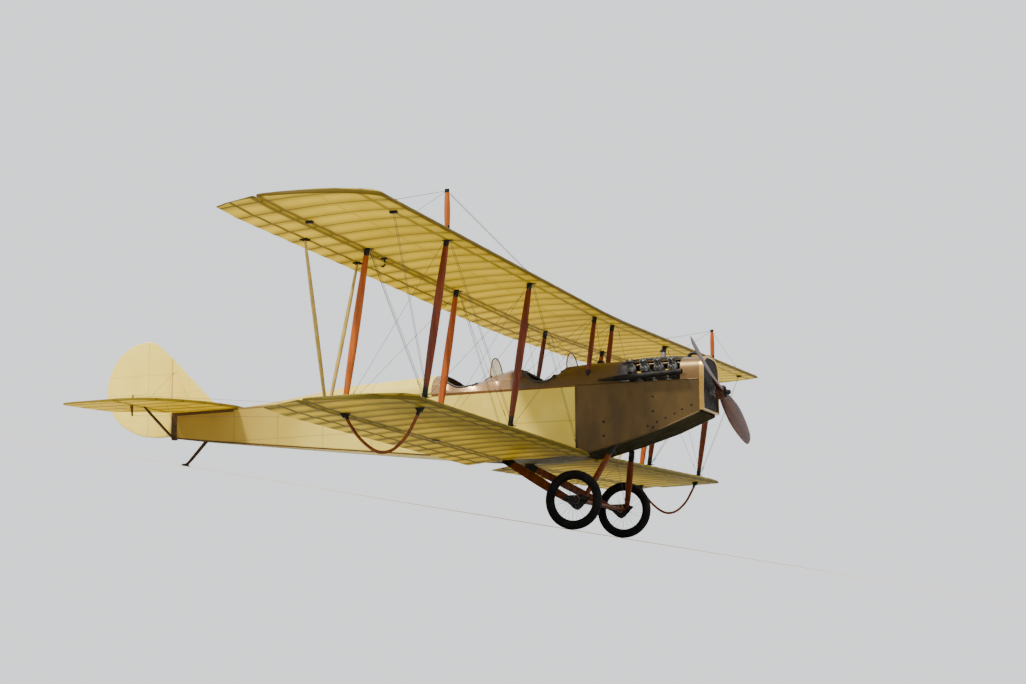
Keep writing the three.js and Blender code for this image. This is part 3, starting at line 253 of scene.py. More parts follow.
def as_piece(bm, name, material, replaced=(), body="airframe", level=True, sharp=SMOOTH_UNDER):
    """Finishes a mesh as a piece that rides on a body, and tips a level one to the parked attitude."""
    bmesh.ops.recalc_face_normals(bm, faces=bm.faces)
    if level:
        bmesh.ops.transform(bm, matrix=TO_FLOOR, verts=bm.verts)
    mesh = bpy.data.meshes.new(name)
    bm.to_mesh(mesh)
    bm.free()
    mesh.shade_smooth()
    mesh.set_sharp_from_angle(angle=sharp)
    mesh.materials.append(material)
    piece = in_scene(name, mesh)
    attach(piece, body)
    if replaced:
        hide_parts(*replaced)
    return piece


print("helpers ready")

# %% [markdown]
# Every material is a small net of nodes. One function adds a node with its settings and links, and one
# turns a colour from sRGB hex to linear. Patterns read Object coordinates, turned back to the level frame,
# so that ribs, grain and panel lines run with the aeroplane and not with the floor.
# %% Helpers for materials
def linear(code):
    """A colour from sRGB hex to linear, with alpha."""
    parts = [int(code[i : i + 2], 16) / 255 for i in (0, 2, 4)]
    return (*[c / 12.92 if c <= 0.04045 else ((c + 0.055) / 1.055) ** 2.4 for c in parts], 1)


def node(tree, kind, settings=None, inputs=None):
    """Adds a node with its settings, and with values or links on its inputs."""
    made = tree.nodes.new(kind)
    for name, value in (settings or {}).items():
        setattr(made, name, value)
    for name, value in (inputs or {}).items():
        if isinstance(value, bpy.types.NodeSocket):
            tree.links.new(value, made.inputs[name])
        else:
            made.inputs[name].default_value = value
    return made


def bare(name):
    """A material with only its tree, and its Object coordinates."""
    made = bpy.data.materials.new(name)
    made.use_nodes = True
    tree = made.node_tree
    tree.nodes.clear()
    return made, tree, node(tree, "ShaderNodeTexCoord").outputs["Object"]


def blank(name):
    """A material with only its tree, and its coordinates turned back to the level frame."""
    made, tree, place = bare(name)
    level = node(
        tree, "ShaderNodeMapping", {"vector_type": "TEXTURE"},
        {"Vector": place, "Location": TO_FLOOR.translation, "Rotation": (0, -PARKED, 0)},
    ).outputs[0]
    return made, tree, level


def sum_of(tree, operation, first, second=0.0, third=0.0):
    """The result of one step of maths on up to three numbers or sockets."""
    return node(
        tree, "ShaderNodeMath", {"operation": operation}, {0: first, 1: second, 2: third},
    ).outputs[0]


def stretched(tree, place, scale):
    """Coordinates stretched along each axis."""
    return node(tree, "ShaderNodeMapping", None, {"Vector": place, "Scale": scale}).outputs[0]


def speckle(tree, place, scale, detail=4.0, roughness=0.55):
    """Noise between 0 and 1."""
    return node(
        tree, "ShaderNodeTexNoise", None,
        {"Vector": place, "Scale": scale, "Detail": detail, "Roughness": roughness},
    ).outputs["Fac"]


def between(tree, value, low, high, out_low=0.0, out_high=1.0):
    """A value carried smoothly from one range to another."""
    return node(
        tree, "ShaderNodeMapRange", {"interpolation_type": "SMOOTHSTEP"},
        {"Value": value, "From Min": low, "From Max": high, "To Min": out_low, "To Max": out_high},
    ).outputs[0]


def blended(tree, share, first, second):
    """Two colours mixed."""
    return node(
        tree, "ShaderNodeMix", {"data_type": "RGBA"}, {0: share, 6: first, 7: second},
    ).outputs[2]


def bumped(tree, height, distance, strength):
    """A normal from a height."""
    return node(
        tree, "ShaderNodeBump", None,
        {"Height": height, "Distance": distance, "Strength": strength},
    ).outputs[0]


def finished(tree, shader):
    """Sends a shader to the material's output."""
    node(tree, "ShaderNodeOutputMaterial", None, {"Surface": shader})


def principled(tree, inputs):
    """The main shader's output."""
    return node(tree, "ShaderNodeBsdfPrincipled", None, inputs).outputs[0]


print("one linear colour:", [round(c, 3) for c in linear("D9C36B")[:3]])

# %% [markdown]
# The covering is plain-woven linen, shrunk tight and varnished with clear dope. The eye sees a warm straw
# yellow, a satin sheen, the wooden ribs and spars as brown lines behind it, and a glow where the sky shines
# through. So the shader is part Translucent, and the lines darken both parts. The lines are painted: they
# stand for the shadows of the ribs and spars seen through the cloth. The weave is 0.4 mm in life, which is
# too fine to show, so it is drawn at 4 mm. Each rib also has a tape sewn over it, which the bump raises. A
# rib line is a distance to the nearest rib, and a spar line a distance from one place. Beside each rib a
# broad band of painted shade darkens the cloth, more on faces that look down. Along the rim the cloth lies
# on wood, so a value stored on the mesh, 1 at the rim and 0 from 100 mm in, darkens it: painted shade where
# less light comes through. Towards the tail the fuselage's cloth is also darkened to brown, as painted shade
# under the tailplane.
# %% Doped linen
WEAVE = 0.004
TAPE = 0.030
RIB_STRENGTH = 0.75


def line_mask(tree, value, place, width):
    """1 on a line of that width at that place, and 0 beside it."""
    away = sum_of(tree, "ABSOLUTE", sum_of(tree, "SUBTRACT", value, place))
    return between(tree, away, width * 0.35, width * 0.75, 1.0, 0.0)


def linen(
    name, colours, spars, ribs=None, through=0.6, shade=0.15, rim_strength=0.7, tail_shadow=None, gloss=0.15,
):
    """Doped linen. ribs: axis, pitch, one place. spars: axis, place, width, strength.

    through: share of the light that passes. shade: painted shade beside a rib.
    tail_shadow: painted shade towards the tail: from x, to x, share.
    """
    made, tree, level = blank(name)
    axes = node(tree, "ShaderNodeSeparateXYZ", None, {0: level}).outputs
    pale, warm, frame_colour = [linear(code) for code in colours]
    patchy = speckle(tree, stretched(tree, level, (1.0, 0.6, 1.0)), 2.2, 5.0)
    cloth = blended(tree, between(tree, patchy, 0.35, 0.68), pale, warm)
    mask = 0.0
    tape = 0.0
    # Rib lines: painted shadows of the ribs seen through the cloth.
    if ribs:
        axis, pitch, start = ribs
        half = sum_of(tree, "SUBTRACT", axes[axis], start)
        nearest = sum_of(tree, "PINGPONG", half, pitch / 2)
        line = sum_of(tree, "MULTIPLY", between(tree, nearest, 0.009, 0.024, 1.0, 0.0), RIB_STRENGTH)
        # Painted shade: a broad band beside each rib, darker on faces that look down.
        facing = node(tree, "ShaderNodeNewGeometry").outputs["Normal"]
        upward = node(tree, "ShaderNodeSeparateXYZ", None, {0: facing}).outputs[2]
        under = between(tree, upward, -0.2, 0.3, shade, shade * 0.3)
        broad = sum_of(tree, "MULTIPLY", between(tree, nearest, 0.012, 0.140, 1.0, 0.0), under)
        mask = sum_of(tree, "MAXIMUM", line, broad)
        tape = between(tree, nearest, TAPE * 0.42, TAPE * 0.5, 1.0, 0.0)
    # Spar lines: painted shadows of the spars and frames seen through the cloth.
    for axis, place, width, strength in spars:
        line = sum_of(tree, "MULTIPLY", line_mask(tree, axes[axis], place, width), strength)
        mask = sum_of(tree, "MAXIMUM", mask, line)
    # Painted shade along the rim, where the cloth lies on wood and less light comes through.
    near_rim = node(tree, "ShaderNodeAttribute", {"attribute_name": "rim"}).outputs["Fac"]
    mask = sum_of(tree, "MAXIMUM", mask, between(tree, near_rim, 0.68, 0.88, 0.0, rim_strength))
    # Painted shade: towards the tail the cloth is blended to brown, for the tailplane's shadow.
    if tail_shadow:
        aged = between(tree, axes[0], tail_shadow[0], tail_shadow[1], 0.0, tail_shadow[2])
        cloth = blended(tree, aged, cloth, linear("8A6A20"))
    colour = blended(tree, mask, cloth, frame_colour)
    weave = node(
        tree, "ShaderNodeTexWave", {"wave_type": "BANDS", "bands_direction": "DIAGONAL"},
        {"Vector": level, "Scale": 1 / WEAVE / 6, "Distortion": 1.5, "Detail": 1.0},
    ).outputs["Fac"]
    height = sum_of(tree, "MULTIPLY_ADD", weave, 0.25, tape)
    normal = bumped(tree, height, 0.0007, 0.6)
    sheen = between(tree, speckle(tree, level, 14.0), 0.3, 0.7, 0.42, 0.56)
    surface = blended(tree, 0.5 * through, colour, linear("2A2208"))
    front = principled(
        tree, {"Base Color": surface, "Roughness": sheen, "Normal": normal, "Specular IOR Level": gloss},
    )
    behind = node(tree, "ShaderNodeBsdfTranslucent", None, {"Color": colour, "Normal": normal}).outputs[0]
    finished(tree, node(tree, "ShaderNodeMixShader", None, {0: through, 1: front, 2: behind}).outputs[0])
    return made


def wing_spars(wing):
    """The lines that run along a wing: edge, spars and the aileron's own spar."""
    rows = [(FRONT_SPAR, 0.046, 0.6), (REAR_SPAR + 0.018, 0.046, 0.7), (AILERON_HINGE + 0.012, 0.046, 0.7),
            (AILERON_SPAR, 0.030, 0.75), (0.560, 0.016, 0.3)]
    return [(0, wing["edge_x"] - behind * math.cos(INCIDENCE), width, strength)
            for behind, width, strength in rows]


UPPER_COLOURS = ("EAD65A", "DECA4C", "54400C")
# Painted shade: the lower wing's cloth is darker than the upper's, and its rib shade stronger, for the wing
# above it.
LOWER_SHADED_COLOURS = ("DCCA58", "CCBA48", "3A300A")
WING_RIBS = (1, RIB_PITCH, OUTER_STRUT)
upper_linen = linen(
    "doped linen of the upper wing", UPPER_COLOURS, wing_spars(UPPER), WING_RIBS,
    shade=0.30, rim_strength=0.85,
)
lower_linen = linen(
    "doped linen of the lower wing", LOWER_SHADED_COLOURS, wing_spars(LOWER), WING_RIBS, shade=0.48,
)
tail_linen = linen(
    "doped linen of the tailplane", UPPER_COLOURS,
    [(0, -5.20, 0.03, 0.3), (0, -6.05, 0.02, 0.35)], (1, 0.26, 0.13), rim_strength=0.6,
)
FUSELAGE_FRAMES = [-4.745, -4.102, -3.457, -2.770, -2.120]
frame_lines = [(0, x, 0.024, 0.20) for x in FUSELAGE_FRAMES]
# The fuselage's cloth darkens towards the tail: painted shade under the tailplane.
side_linen = linen(
    "doped linen of the fuselage", ("E0CA5E", "D4BC4E", "54421E"),
    frame_lines + [(2, LONGERON_Z, 0.026, 0.75), (2, 0.951, 0.014, 0.25)],
    through=0.05, tail_shadow=(-2.6, -5.0, 0.78),
)
# Painted shade: the cloth under the fuselage is made dark, for the shade beneath it.
floor_linen = linen(
    "doped linen under the fuselage, darkened as painted shade", ("5A4C1A", "4C4014", "362E0E"), [],
    through=0.0, gloss=0.03,
)
# Painted sunlight: the fin's and rudder's cloth is paler and brighter than the rest of the linen.
fin_linen = linen(
    "doped linen of the fin", ("FFE668", "FCDE5A", "A08C40"),
    [(0, -5.45, 0.012, 0.2), (0, -6.05, 0.012, 0.35), (2, 1.62, 0.012, 0.2), (2, 1.86, 0.012, 0.2)],
    through=0.06, rim_strength=0.12,
)
print("linens:", [m.name for m in bpy.data.materials])

# %% [markdown]
# The struts are mahogany and the lighter parts ash or plywood, all under glossy spar varnish. Grain is
# noise stretched along the piece, 1 mm wide in life and drawn near 4 mm. The varnish is a coat over a
# rougher wood.
# %% Varnished wood
def varnished(name, colours, coat, run=2, grain=240.0, laminate=0.0):
    """Varnished wood whose grain runs along an axis. laminate: thickness of glued layers, in metres."""
    made, tree, level = blank(name)
    scale = [1.0, 1.0, 1.0]
    scale[run] = 0.06
    along = stretched(tree, level, scale)
    fibre = speckle(tree, along, grain, 6.0, 0.65)
    broad = speckle(tree, along, grain / 7, 3.0)
    light, dark, pore = [linear(code) for code in colours]
    wood = blended(tree, between(tree, broad, 0.35, 0.65), light, dark)
    wood = blended(tree, between(tree, fibre, 0.52, 0.75, 0.0, 0.7), wood, pore)
    if laminate:
        forward = node(tree, "ShaderNodeSeparateXYZ", None, {0: level}).outputs[0]
        layer = sum_of(tree, "PINGPONG", forward, laminate)
        glue = between(tree, layer, laminate * 0.42, laminate * 0.58, 0.0, 0.45)
        wood = blended(tree, glue, wood, pore)
    finished(tree, principled(tree, {
        "Base Color": wood,
        "Roughness": between(tree, fibre, 0.3, 0.7, 0.34, 0.50),
        "Normal": bumped(tree, fibre, 0.0004, 0.5),
        "Specular IOR Level": 0.22,
        "Coat Weight": coat,
        "Coat Roughness": 0.16,
    }))
    return made


mahogany = varnished("varnished mahogany", ("702C02", "521D00", "2A0C00"), coat=0.05)
ash = varnished("varnished ash", ("6A2E06", "4C2002", "2A1000"), coat=0.05)
# Painted sunlight: a lighter, orange copy of the mahogany for the sunlit rear struts and king posts.
sunlit_wood = varnished("varnished mahogany, painted as sunlit", ("A85402", "8C3E00", "4C2200"), coat=0.05)
dark_wood = varnished("dark stained wood", ("40280E", "30200A", "1A1206"), run=0, coat=0.0)
shade_and_stained_wood = varnished("stained wood and painted shade strips", ("523812", "3E2A0C", "241806"), run=0, coat=0.0)
cane = varnished("dark cane", ("763A10", "5A2808", "2C1404"), coat=0.05)
longeron_wood = varnished("brown longeron wood", ("6A4416", "52330E", "2E1C06"), run=0, coat=0.0)
ply = varnished("varnished plywood", ("C29A5C", "A87E42", "7C5828"), run=0, grain=160.0, coat=0.4)
pale_strut = varnished("varnished spruce", ("B4984A", "98803A", "6A5620"), coat=0.05)
airscrew_wood = varnished(
    "laminated walnut", ("52260A", "3C1A04", "200C02"), run=1, coat=0.0, laminate=0.022,
)
print("woods ready")

# %% [markdown]
# The cowl is thin sheet with a hand-rubbed bronze brown lacquer, so it is a metal seen through a brown
# coat: smooth, with cloudy upright streaks that are partly rubbing marks and partly painted reflections.
# Its bottom is a darker sheet, as painted shade. The radiator's shell is polished brass, steel fittings are
# blackened, cylinders are painted aluminium grey, and the exhaust is scaled iron.
# %% Metals
def metal(
    name, colours, rough, metallic, cloud, stretch=(1, 1, 1), bump=0.0002, coat=0.0, gloss=0.5,
):
    """A metal with cloudy variation between two colours, and roughness that follows it."""
    made, tree, level = blank(name)
    place = stretched(tree, level, stretch)
    patch = speckle(tree, place, cloud, 6.0, 0.6)
    fine = speckle(tree, place, cloud * 18, 3.0)
    light, dark = [linear(code) for code in colours]
    low, high = rough
    mixed = sum_of(tree, "MULTIPLY_ADD", fine, 0.4, sum_of(tree, "MULTIPLY", patch, 0.6))
    finished(tree, principled(tree, {
        "Base Color": blended(tree, between(tree, patch, 0.34, 0.68), light, dark),
        "Metallic": metallic,
        "Roughness": between(tree, mixed, 0.3, 0.7, low, high),
        "Normal": bumped(tree, fine, bump, 0.5),
        "Specular IOR Level": gloss,
        "Coat Weight": coat,
        "Coat Roughness": 0.15,
    }))
    return made


# Its upright cloudy streaks are partly rubbing marks and partly painted reflections.
bronze_lacquer = metal(
    "bronzed sheet", ("543F16", "463410"), (0.32, 0.44), 0.45, 2.5, (2, 2, 0.8), coat=0.05,
)
deck_lacquer = metal(
    "bronzed sheet of the deck", ("513C20", "453218"), (0.40, 0.5), 0.15, 2.5, (1, 2, 1), coat=0.1,
)
# Painted shade: the cowl's bottom is a dark, almost unreflecting sheet, for the shade beneath the nose.
shaded_sheet = metal("cowl sheet darkened as painted shade", ("2A250C", "1E1B08"), (0.7, 0.85), 0.0, 6.0, gloss=0.03)
beige_lacquer = metal("beige enamelled sheet", ("907046", "7A5C38"), (0.24, 0.34), 0.6, 4.0, coat=0.25)
hood_metal = metal("pinkish beige sheet", ("7C6038", "664C28"), (0.26, 0.36), 0.55, 5.0, (1, 3, 1))
brass = metal("polished brass", ("C09A50", "A07E3A"), (0.18, 0.30), 0.9, 9.0)
core_black = metal("black radiator core", ("1E1B16", "12100D"), (0.4, 0.6), 0.3, 40.0)
black_steel = metal("blackened steel", ("242321", "161514"), (0.45, 0.6), 0.6, 30.0, gloss=0.3)
wire_steel = metal("tinned wire", ("4E4F4E", "3A3B3A"), (0.40, 0.55), 0.8, 60.0)
cast_grey = metal("grey-painted casting", ("86857F", "62615C"), (0.38, 0.55), 0.75, 20.0, bump=0.0006)
dull_steel = metal("dull steel", ("6C6B66", "403F3C"), (0.3, 0.45), 0.9, 30.0)
bright_steel = metal("bright steel", ("A6A5A0", "7C7B78"), (0.24, 0.36), 1.0, 20.0)
scaled_iron = metal(
    "scaled iron pipe", ("221E1A", "12100E"), (0.55, 0.75), 0.4, 14.0, bump=0.001, gloss=0.25,
)
aged_brass = metal("aged brass fittings", ("8A6830", "6A4C1E"), (0.35, 0.5), 0.9, 20.0)
print("metals ready")

# %% [markdown]
# Rubber is dull black with a bloom of grey dust. Leather has a pebbled grain of 1.5 mm, drawn at 3 mm, and
# is shinier where hands rub it. The windscreens are clear celluloid, slightly yellow.
# %% Rubber, leather and celluloid
def pebbled(name, colours, pebble, rough, bump, gloss=0.5):
    """A surface with a cell pattern, such as leather or rubber."""
    made, tree, level = blank(name)
    cells = node(tree, "ShaderNodeTexVoronoi", {"feature": "DISTANCE_TO_EDGE"},
                 {"Vector": level, "Scale": 1 / pebble}).outputs["Distance"]
    wear = speckle(tree, level, 9.0, 5.0)
    light, dark = [linear(code) for code in colours]
    low, high = rough
    finished(tree, principled(tree, {
        "Base Color": blended(tree, between(tree, wear, 0.4, 0.7), dark, light),
        "Roughness": between(tree, wear, 0.3, 0.7, high, low),
        "Normal": bumped(tree, between(tree, cells, 0.0, 0.12), bump, 0.8),
        "Specular IOR Level": gloss,
    }))
    return made


rubber = pebbled("black tyre rubber", ("12100D", "090807"), 0.012, (0.7, 0.85), 0.0003, 0.15)
leather = pebbled("dark padded leather", ("241C16", "14100C"), 0.003, (0.45, 0.62), 0.0006)
seat_leather = pebbled("brown seat leather", ("6B4026", "4A2A18"), 0.003, (0.42, 0.6), 0.0006)
binding = pebbled("waxed cord binding", ("8C7A5A", "6A5A40"), 0.004, (0.6, 0.8), 0.0008)


def celluloid():
    """Clear sheet, a little yellow, 2 mm thick."""
    made, tree, level = blank("clear celluloid")
    smear = between(tree, speckle(tree, level, 18.0), 0.4, 0.75, 0.02, 0.10)
    finished(tree, principled(tree, {
        "Base Color": linear("DAD4BA"),
        "Roughness": smear,
        "Specular IOR Level": 0.2,
        "Transmission Weight": 1.0,
    }))
    return made


clear_sheet = celluloid()
print("soft materials ready")

# %% [markdown]
# The wings are the largest surfaces, and what makes them real is that the cloth touches only the ribs.
# A wing could be a flat loft with ribs painted on. Here the skin is carried through a section on every
# rib and three more in each bay, drawn in by up to 8 mm, with the edge behind scalloped as the doped
# cloth pulls on its wire.
# %% Wing sections
# The wings' section: share of the chord, height as a share of it.
SECTION = [
    (1, 0.007), (0.87, 0.024), (0.725, 0.0455), (0.52, 0.068), (0.36, 0.075), (0.22, 0.072), (0.115, 0.060),
    (0.05, 0.042), (0.012, 0.020), (0, 0), (0.008, -0.006), (0.04, -0.006), (0.115, 0.002), (0.3, 0.013),
    (0.5, 0.016), (0.725, 0.0125), (0.87, 0.008), (1, 0.001),
]
WING_LOOP = curved([(u, v, 0) for u, v in SECTION], 3)
NOSE_AT = min(range(len(WING_LOOP)), key=lambda i: WING_LOOP[i].x)
UPPER_FACE = WING_LOOP[: NOSE_AT + 1]
LOWER_FACE = WING_LOOP[NOSE_AT:]
# How a tip narrows: distance in from it, front edge set back, rear edge set back, thickness factor.
TIP_ROWS = [
    (0.545, 0, 0, 1), (0.355, 0.008, 0, 0.88), (0.275, 0.090, 0, 0.78), (0.165, 0.260, 0, 0.62),
    (0.085, 0.470, 0, 0.48), (0.025, 0.720, 0.140, 0.38), (0, 0.920, 0.330, 0.30),
]
TIP_FRONT = curved([(front, -inward, 0) for inward, front, _, _ in TIP_ROWS[1:]], 4)
WALL_BEHIND = AILERON_HINGE - 0.034
NOSE_RADIUS = 0.0249
CLOTH_SAG = 0.008
SCALLOP = 0.009
RIM_REACH = 0.100
WELD = 0.00002


def tip_at(wing, y):
    """How far the front and rear edges are set back, and the thickness factor, near a tip."""
    inward = wing["span"] - abs(y)
    rear = look_up([(row[0], row[2]) for row in TIP_ROWS], inward)
    factor = look_up([(row[0], row[3]) for row in TIP_ROWS], inward)
    if inward >= TIP_ROWS[1][0]:
        return 0.0, rear, factor
    front = look_up([(-p.y, p.x) for p in TIP_FRONT], inward)
    return front, rear, factor


def slack(y):
    """0 on a rib and 1 half-way to the next."""
    share = ((y - OUTER_STRUT) / RIB_PITCH) % 1
    return 4 * share * (1 - share)


def height_at(points, u):
    """Height of the section at a fraction of the chord, on one of its two faces."""
    return look_up([(p.x, p.y) for p in points], u)


def thinned(v, factor):
    """Height of a section's point over the chord line, drawn to the hinge's height as a tip thins."""
    return (HINGE_HEIGHT + (v - HINGE_HEIGHT) * factor) * CHORD


def wing_section(wing, y, cut=None, side=1):
    """One closed section of a wing. cut: ends it that far behind the leading edge."""
    front, rear, factor = tip_at(wing, y)
    loose = slack(y) * factor
    reach = CHORD - front - rear - (0 if cut else SCALLOP * loose)
    last = (cut - front) / reach if cut else 1
    points = []
    for i, point in enumerate(WING_LOOP):
        over = i <= NOSE_AT
        u = min(point.x, last)
        v = point.y if point.x <= last else height_at(UPPER_FACE if over else LOWER_FACE, last)
        hang = CLOTH_SAG * loose * math.sin(math.pi * min(1, max(0, u)) ** 0.7)
        height = thinned(v, factor) + (-hang if over else hang)
        points.append(wing_point(wing, side * y, front + u * reach, height))
    return points


def stations(start, end):
    """Places along a wing: every rib and three in each bay, between two ends."""
    step = RIB_PITCH / 4
    first = math.ceil((start - OUTER_STRUT) / step + 0.01)
    last = math.floor((end - OUTER_STRUT) / step - 0.01)
    return [start] + [OUTER_STRUT + i * step for i in range(first, last + 1)] + [end]


def tip_stations(wing, start):
    """Stations out to the very tip."""
    turns = [p.y + wing["span"] for p in TIP_FRONT[1:]]
    return [y for y in stations(start, turns[0]) if y < turns[0] - 0.01] + turns


def front_edge(wing, side):
    """Points along a wing's leading edge and round its tip, as seen from above."""
    straight = wing["span"] - TIP_ROWS[1][0]
    count = math.ceil(straight / 0.03)
    plan = [(0, -wing["span"] + straight * i / count) for i in range(count)]
    for start, end in zip(TIP_FRONT, TIP_FRONT[1:]):
        plan += [tuple(start.lerp(end, i / 4).xy) for i in range(4)]
    plan += [(0.92 + 0.26 * i / 9, 0) for i in range(10)]
    plan += [(CHORD - 0.33 + 0.19 * i / 6, -0.025 * i / 6) for i in range(7)]
    plan += [(CHORD - 0.14 + 0.13 * i / 5, -0.025 - 0.06 * i / 5) for i in range(6)]
    return [Vector((wing["edge_x"] - x, side * (wing["span"] + y), 0)) for x, y in plan]


def mark_rim(bm, line):
    """Stores on each vertex how near it is to a line, from 1 on it to 0 at RIM_REACH."""
    tree = KDTree(len(line))
    for i, point in enumerate(line):
        tree.insert(point, i)
    tree.balance()
    layer = bm.verts.layers.float.new("rim")
    for vert in bm.verts:
        away = tree.find(Vector((vert.co.x, vert.co.y, 0)))[2]
        vert[layer] = max(0.0, 1 - away / RIM_REACH)


print(len(WING_LOOP), "points a section; sag", CLOTH_SAG)

# %% [markdown]
# Each wing panel has a recess for its aileron. A Boolean could cut it from a whole wing, but it leaves
# slivers in so thin a loft. So the outer sections simply end at the recess, and the aileron is a skin of
# its own, with a round nose about the line that it turns on.
# %% Wings
def fixed_wing(wing, side):
    """A wing panel with the recess for its aileron."""
    inner = [wing_section(wing, y, None, side) for y in stations(wing["root"], AILERON_ROOT - 0.0125)]
    outer = [wing_section(wing, y, WALL_BEHIND, side) for y in tip_stations(wing, AILERON_ROOT - 0.0120)]
    bm = bmesh.new()
    skin(bm, inner + outer)
    bmesh.ops.remove_doubles(bm, verts=bm.verts, dist=WELD)
    mark_rim(bm, front_edge(wing, side))
    return bm


def aileron_section(wing, y, side):
    """A section of an aileron: a round nose about the hinge, then the wing's own faces."""
    front, rear, factor = tip_at(wing, y)
    loose = slack(y) * factor
    reach = CHORD - front - rear
    radius = NOSE_RADIUS * factor
    points = []
    for i in range(9):
        turn = math.pi / 2 + math.pi * i / 8
        height = HINGE_HEIGHT * CHORD + radius * math.sin(turn)
        points.append((AILERON_HINGE + radius * math.cos(turn), height))
    shares = [0.12, 0.3, 0.5, 0.7, 0.86, 0.96, 1.0]
    for face, row, sense in ((LOWER_FACE, shares, 1), (UPPER_FACE, shares[::-1], -1)):
        for share in row:
            behind = AILERON_HINGE + (CHORD - rear - SCALLOP * loose - AILERON_HINGE) * share
            v = height_at(face, (behind - front) / reach)
            hang = sense * CLOTH_SAG * 0.8 * loose * math.sin(math.pi * share)
            points.append((behind, thinned(v, factor) + hang))
    return [wing_point(wing, side * y, behind, height) for behind, height in points]


def aileron(wing, side):
    """An aileron, from its root out to the wing's tip."""
    bm = bmesh.new()
    skin(bm, [aileron_section(wing, y, side) for y in tip_stations(wing, AILERON_ROOT)])
    bmesh.ops.remove_doubles(bm, verts=bm.verts, dist=WELD)
    mark_rim(bm, front_edge(wing, side))
    return bm


for side_name, side in SIDES.items():
    for level_name, wing, material in (("upper", UPPER, upper_linen), ("lower", LOWER, lower_linen)):
        fixed = f"{level_name}_wing_{side_name}"
        moving = f"{level_name}_aileron_{side_name}"
        as_piece(fixed_wing(wing, side), f"{fixed}_linen", material, [fixed])
        as_piece(aileron(wing, side), f"{moving}_linen", material, [moving], moving)

bm = bmesh.new()
skin(bm, [wing_section(UPPER, y) for y in (-0.3798, -0.19, 0, 0.19, 0.3798)])
mark_rim(bm, [Vector((UPPER["edge_x"], -0.4 + 0.03 * i, 0)) for i in range(28)])
as_piece(bm, "upper_centre_section_linen", upper_linen, ["upper_centre_section"])

# %% [markdown]
# The tail is flat: a frame of steel tube and ash covered on both sides. Each surface is an outline with a
# rounded rim, filled top and bottom, cut by planes on a grid, and drawn in between its ribs. It thins
# towards its rear edge.
# %% Tail surfaces
CROSS_CUT = 0.110


def outward(points):
    """For each point of a flat outline, the direction that leads out of it."""
    count = len(points)
    area = sum(a.x * b.y - b.x * a.y for a, b in zip(points, points[1:] + points[:1]))
    sense = 1 if area > 0 else -1
    runs = [(points[(i + 1) % count] - points[i - 1]).normalized() for i in range(count)]
    return [Vector((run.y, -run.x, 0)) * sense for run in runs]


def flat_surface(bm, outline, half, rim, rib_pitch, rib_start, sag, thin=None):
    """A flat covered surface in the x, y plane, with a rounded rim and ribs that run along x.

    half: half its thickness. thin: x and share of the thickness, at two places.
    """
    points = [Vector(point).to_3d() for point in outline]
    loops = []
    for i in range(9):
        turn = -math.pi / 2 + math.pi * i / 8
        inset = rim * (1 - math.cos(turn))
        rise = Vector((0, 0, half * math.sin(turn)))
        loops.append([p - n * inset + rise for p, n in zip(points, outward(points))])
    skin(bm, loops)
    for axis, pitch, start in ((1, rib_pitch / 4, rib_start), (0, CROSS_CUT, min(p.x for p in points))):
        first = math.ceil((min(p[axis] for p in points) - start) / pitch + 0.05)
        last = math.floor((max(p[axis] for p in points) - start) / pitch - 0.05)
        across = Vector((0, 1, 0)) if axis else Vector((1, 0, 0))
        for i in range(first, last + 1):
            bmesh.ops.bisect_plane(
                bm, geom=bm.verts[:] + bm.edges[:] + bm.faces[:], dist=1e-5,
                plane_co=across * (start + i * pitch), plane_no=across,
            )
    mark_rim(bm, [a.lerp(b, i / 10) for a, b in zip(points, points[1:] + points[:1]) for i in range(10)])
    layer = bm.verts.layers.float["rim"]
    for vert in bm.verts:
        share = ((vert.co.y - rib_start) / rib_pitch) % 1
        if abs(vert.co.z) > half * 0.9:
            hang = sag * 4 * share * (1 - share) * (1 - vert[layer])
            vert.co.z -= math.copysign(hang, vert.co.z)
        if thin:
            (x0, share0), (x1, share1) = thin
            place = min(1, max(0, (vert.co.x - x0) / (x1 - x0)))
            vert.co.z *= share0 + (share1 - share0) * place


def lifted(bm, matrix):
    """Moves a mesh that was shaped about the origin to its place."""
    bmesh.ops.transform(bm, matrix=matrix, verts=bm.verts)


AT_TAILPLANE = Matrix.Translation((0, 0, TAILPLANE_Z))
TAIL_HALF_SPAN = 1.330
TAILPLANE_BACK = TAIL_HINGE_X + 0.032
half_edge = curved([
    (TAILPLANE_BACK, TAIL_HALF_SPAN, 0), (-5.50, 1.322, 0), (-5.30, 1.250, 0), (-5.10, 1.060, 0),
    (-4.93, 0.810, 0), (-4.84, 0.640, 0), (-4.765, 0.400, 0), (-4.703, 0.170, 0),
], 4)
other_edge = [Vector((p.x, -p.y, 0)) for p in reversed(half_edge)]
straight_back = [Vector((TAILPLANE_BACK, y, 0)) for y in (-0.9, -0.45, 0, 0.45, 0.9)]
bm = bmesh.new()
flat_surface(bm, half_edge + other_edge + straight_back, 0.018, 0.016, 0.26, 0.13, 0.003)
lifted(bm, AT_TAILPLANE)
as_piece(bm, "tailplane_linen", tail_linen, ["tailplane"])

ELEVATOR_FRONT = TAIL_HINGE_X + 0.018
elevator_edge = (
    [Vector((ELEVATOR_FRONT, y, 0)) for y in (0.066, 0.38, 0.70, 1.0, 1.326)]
    + [Vector((x, TAIL_HALF_SPAN - (ELEVATOR_FRONT - x) * 0.018, 0)) for x in (-5.85, -6.05, -6.2)]
    + curved([(-6.33, 1.314, 0), (-6.44, 1.285, 0), (-6.496, 1.222, 0), (-6.499, 1.150, 0)], 3)
    + [Vector((-6.460, 0.86, 0)), Vector((-6.415, 0.65, 0)), Vector((-6.370, 0.43, 0))]
    + [Vector((-6.17, 0.317, 0)), Vector((-5.97, 0.203, 0)), Vector((-5.775, 0.092, 0))]
)
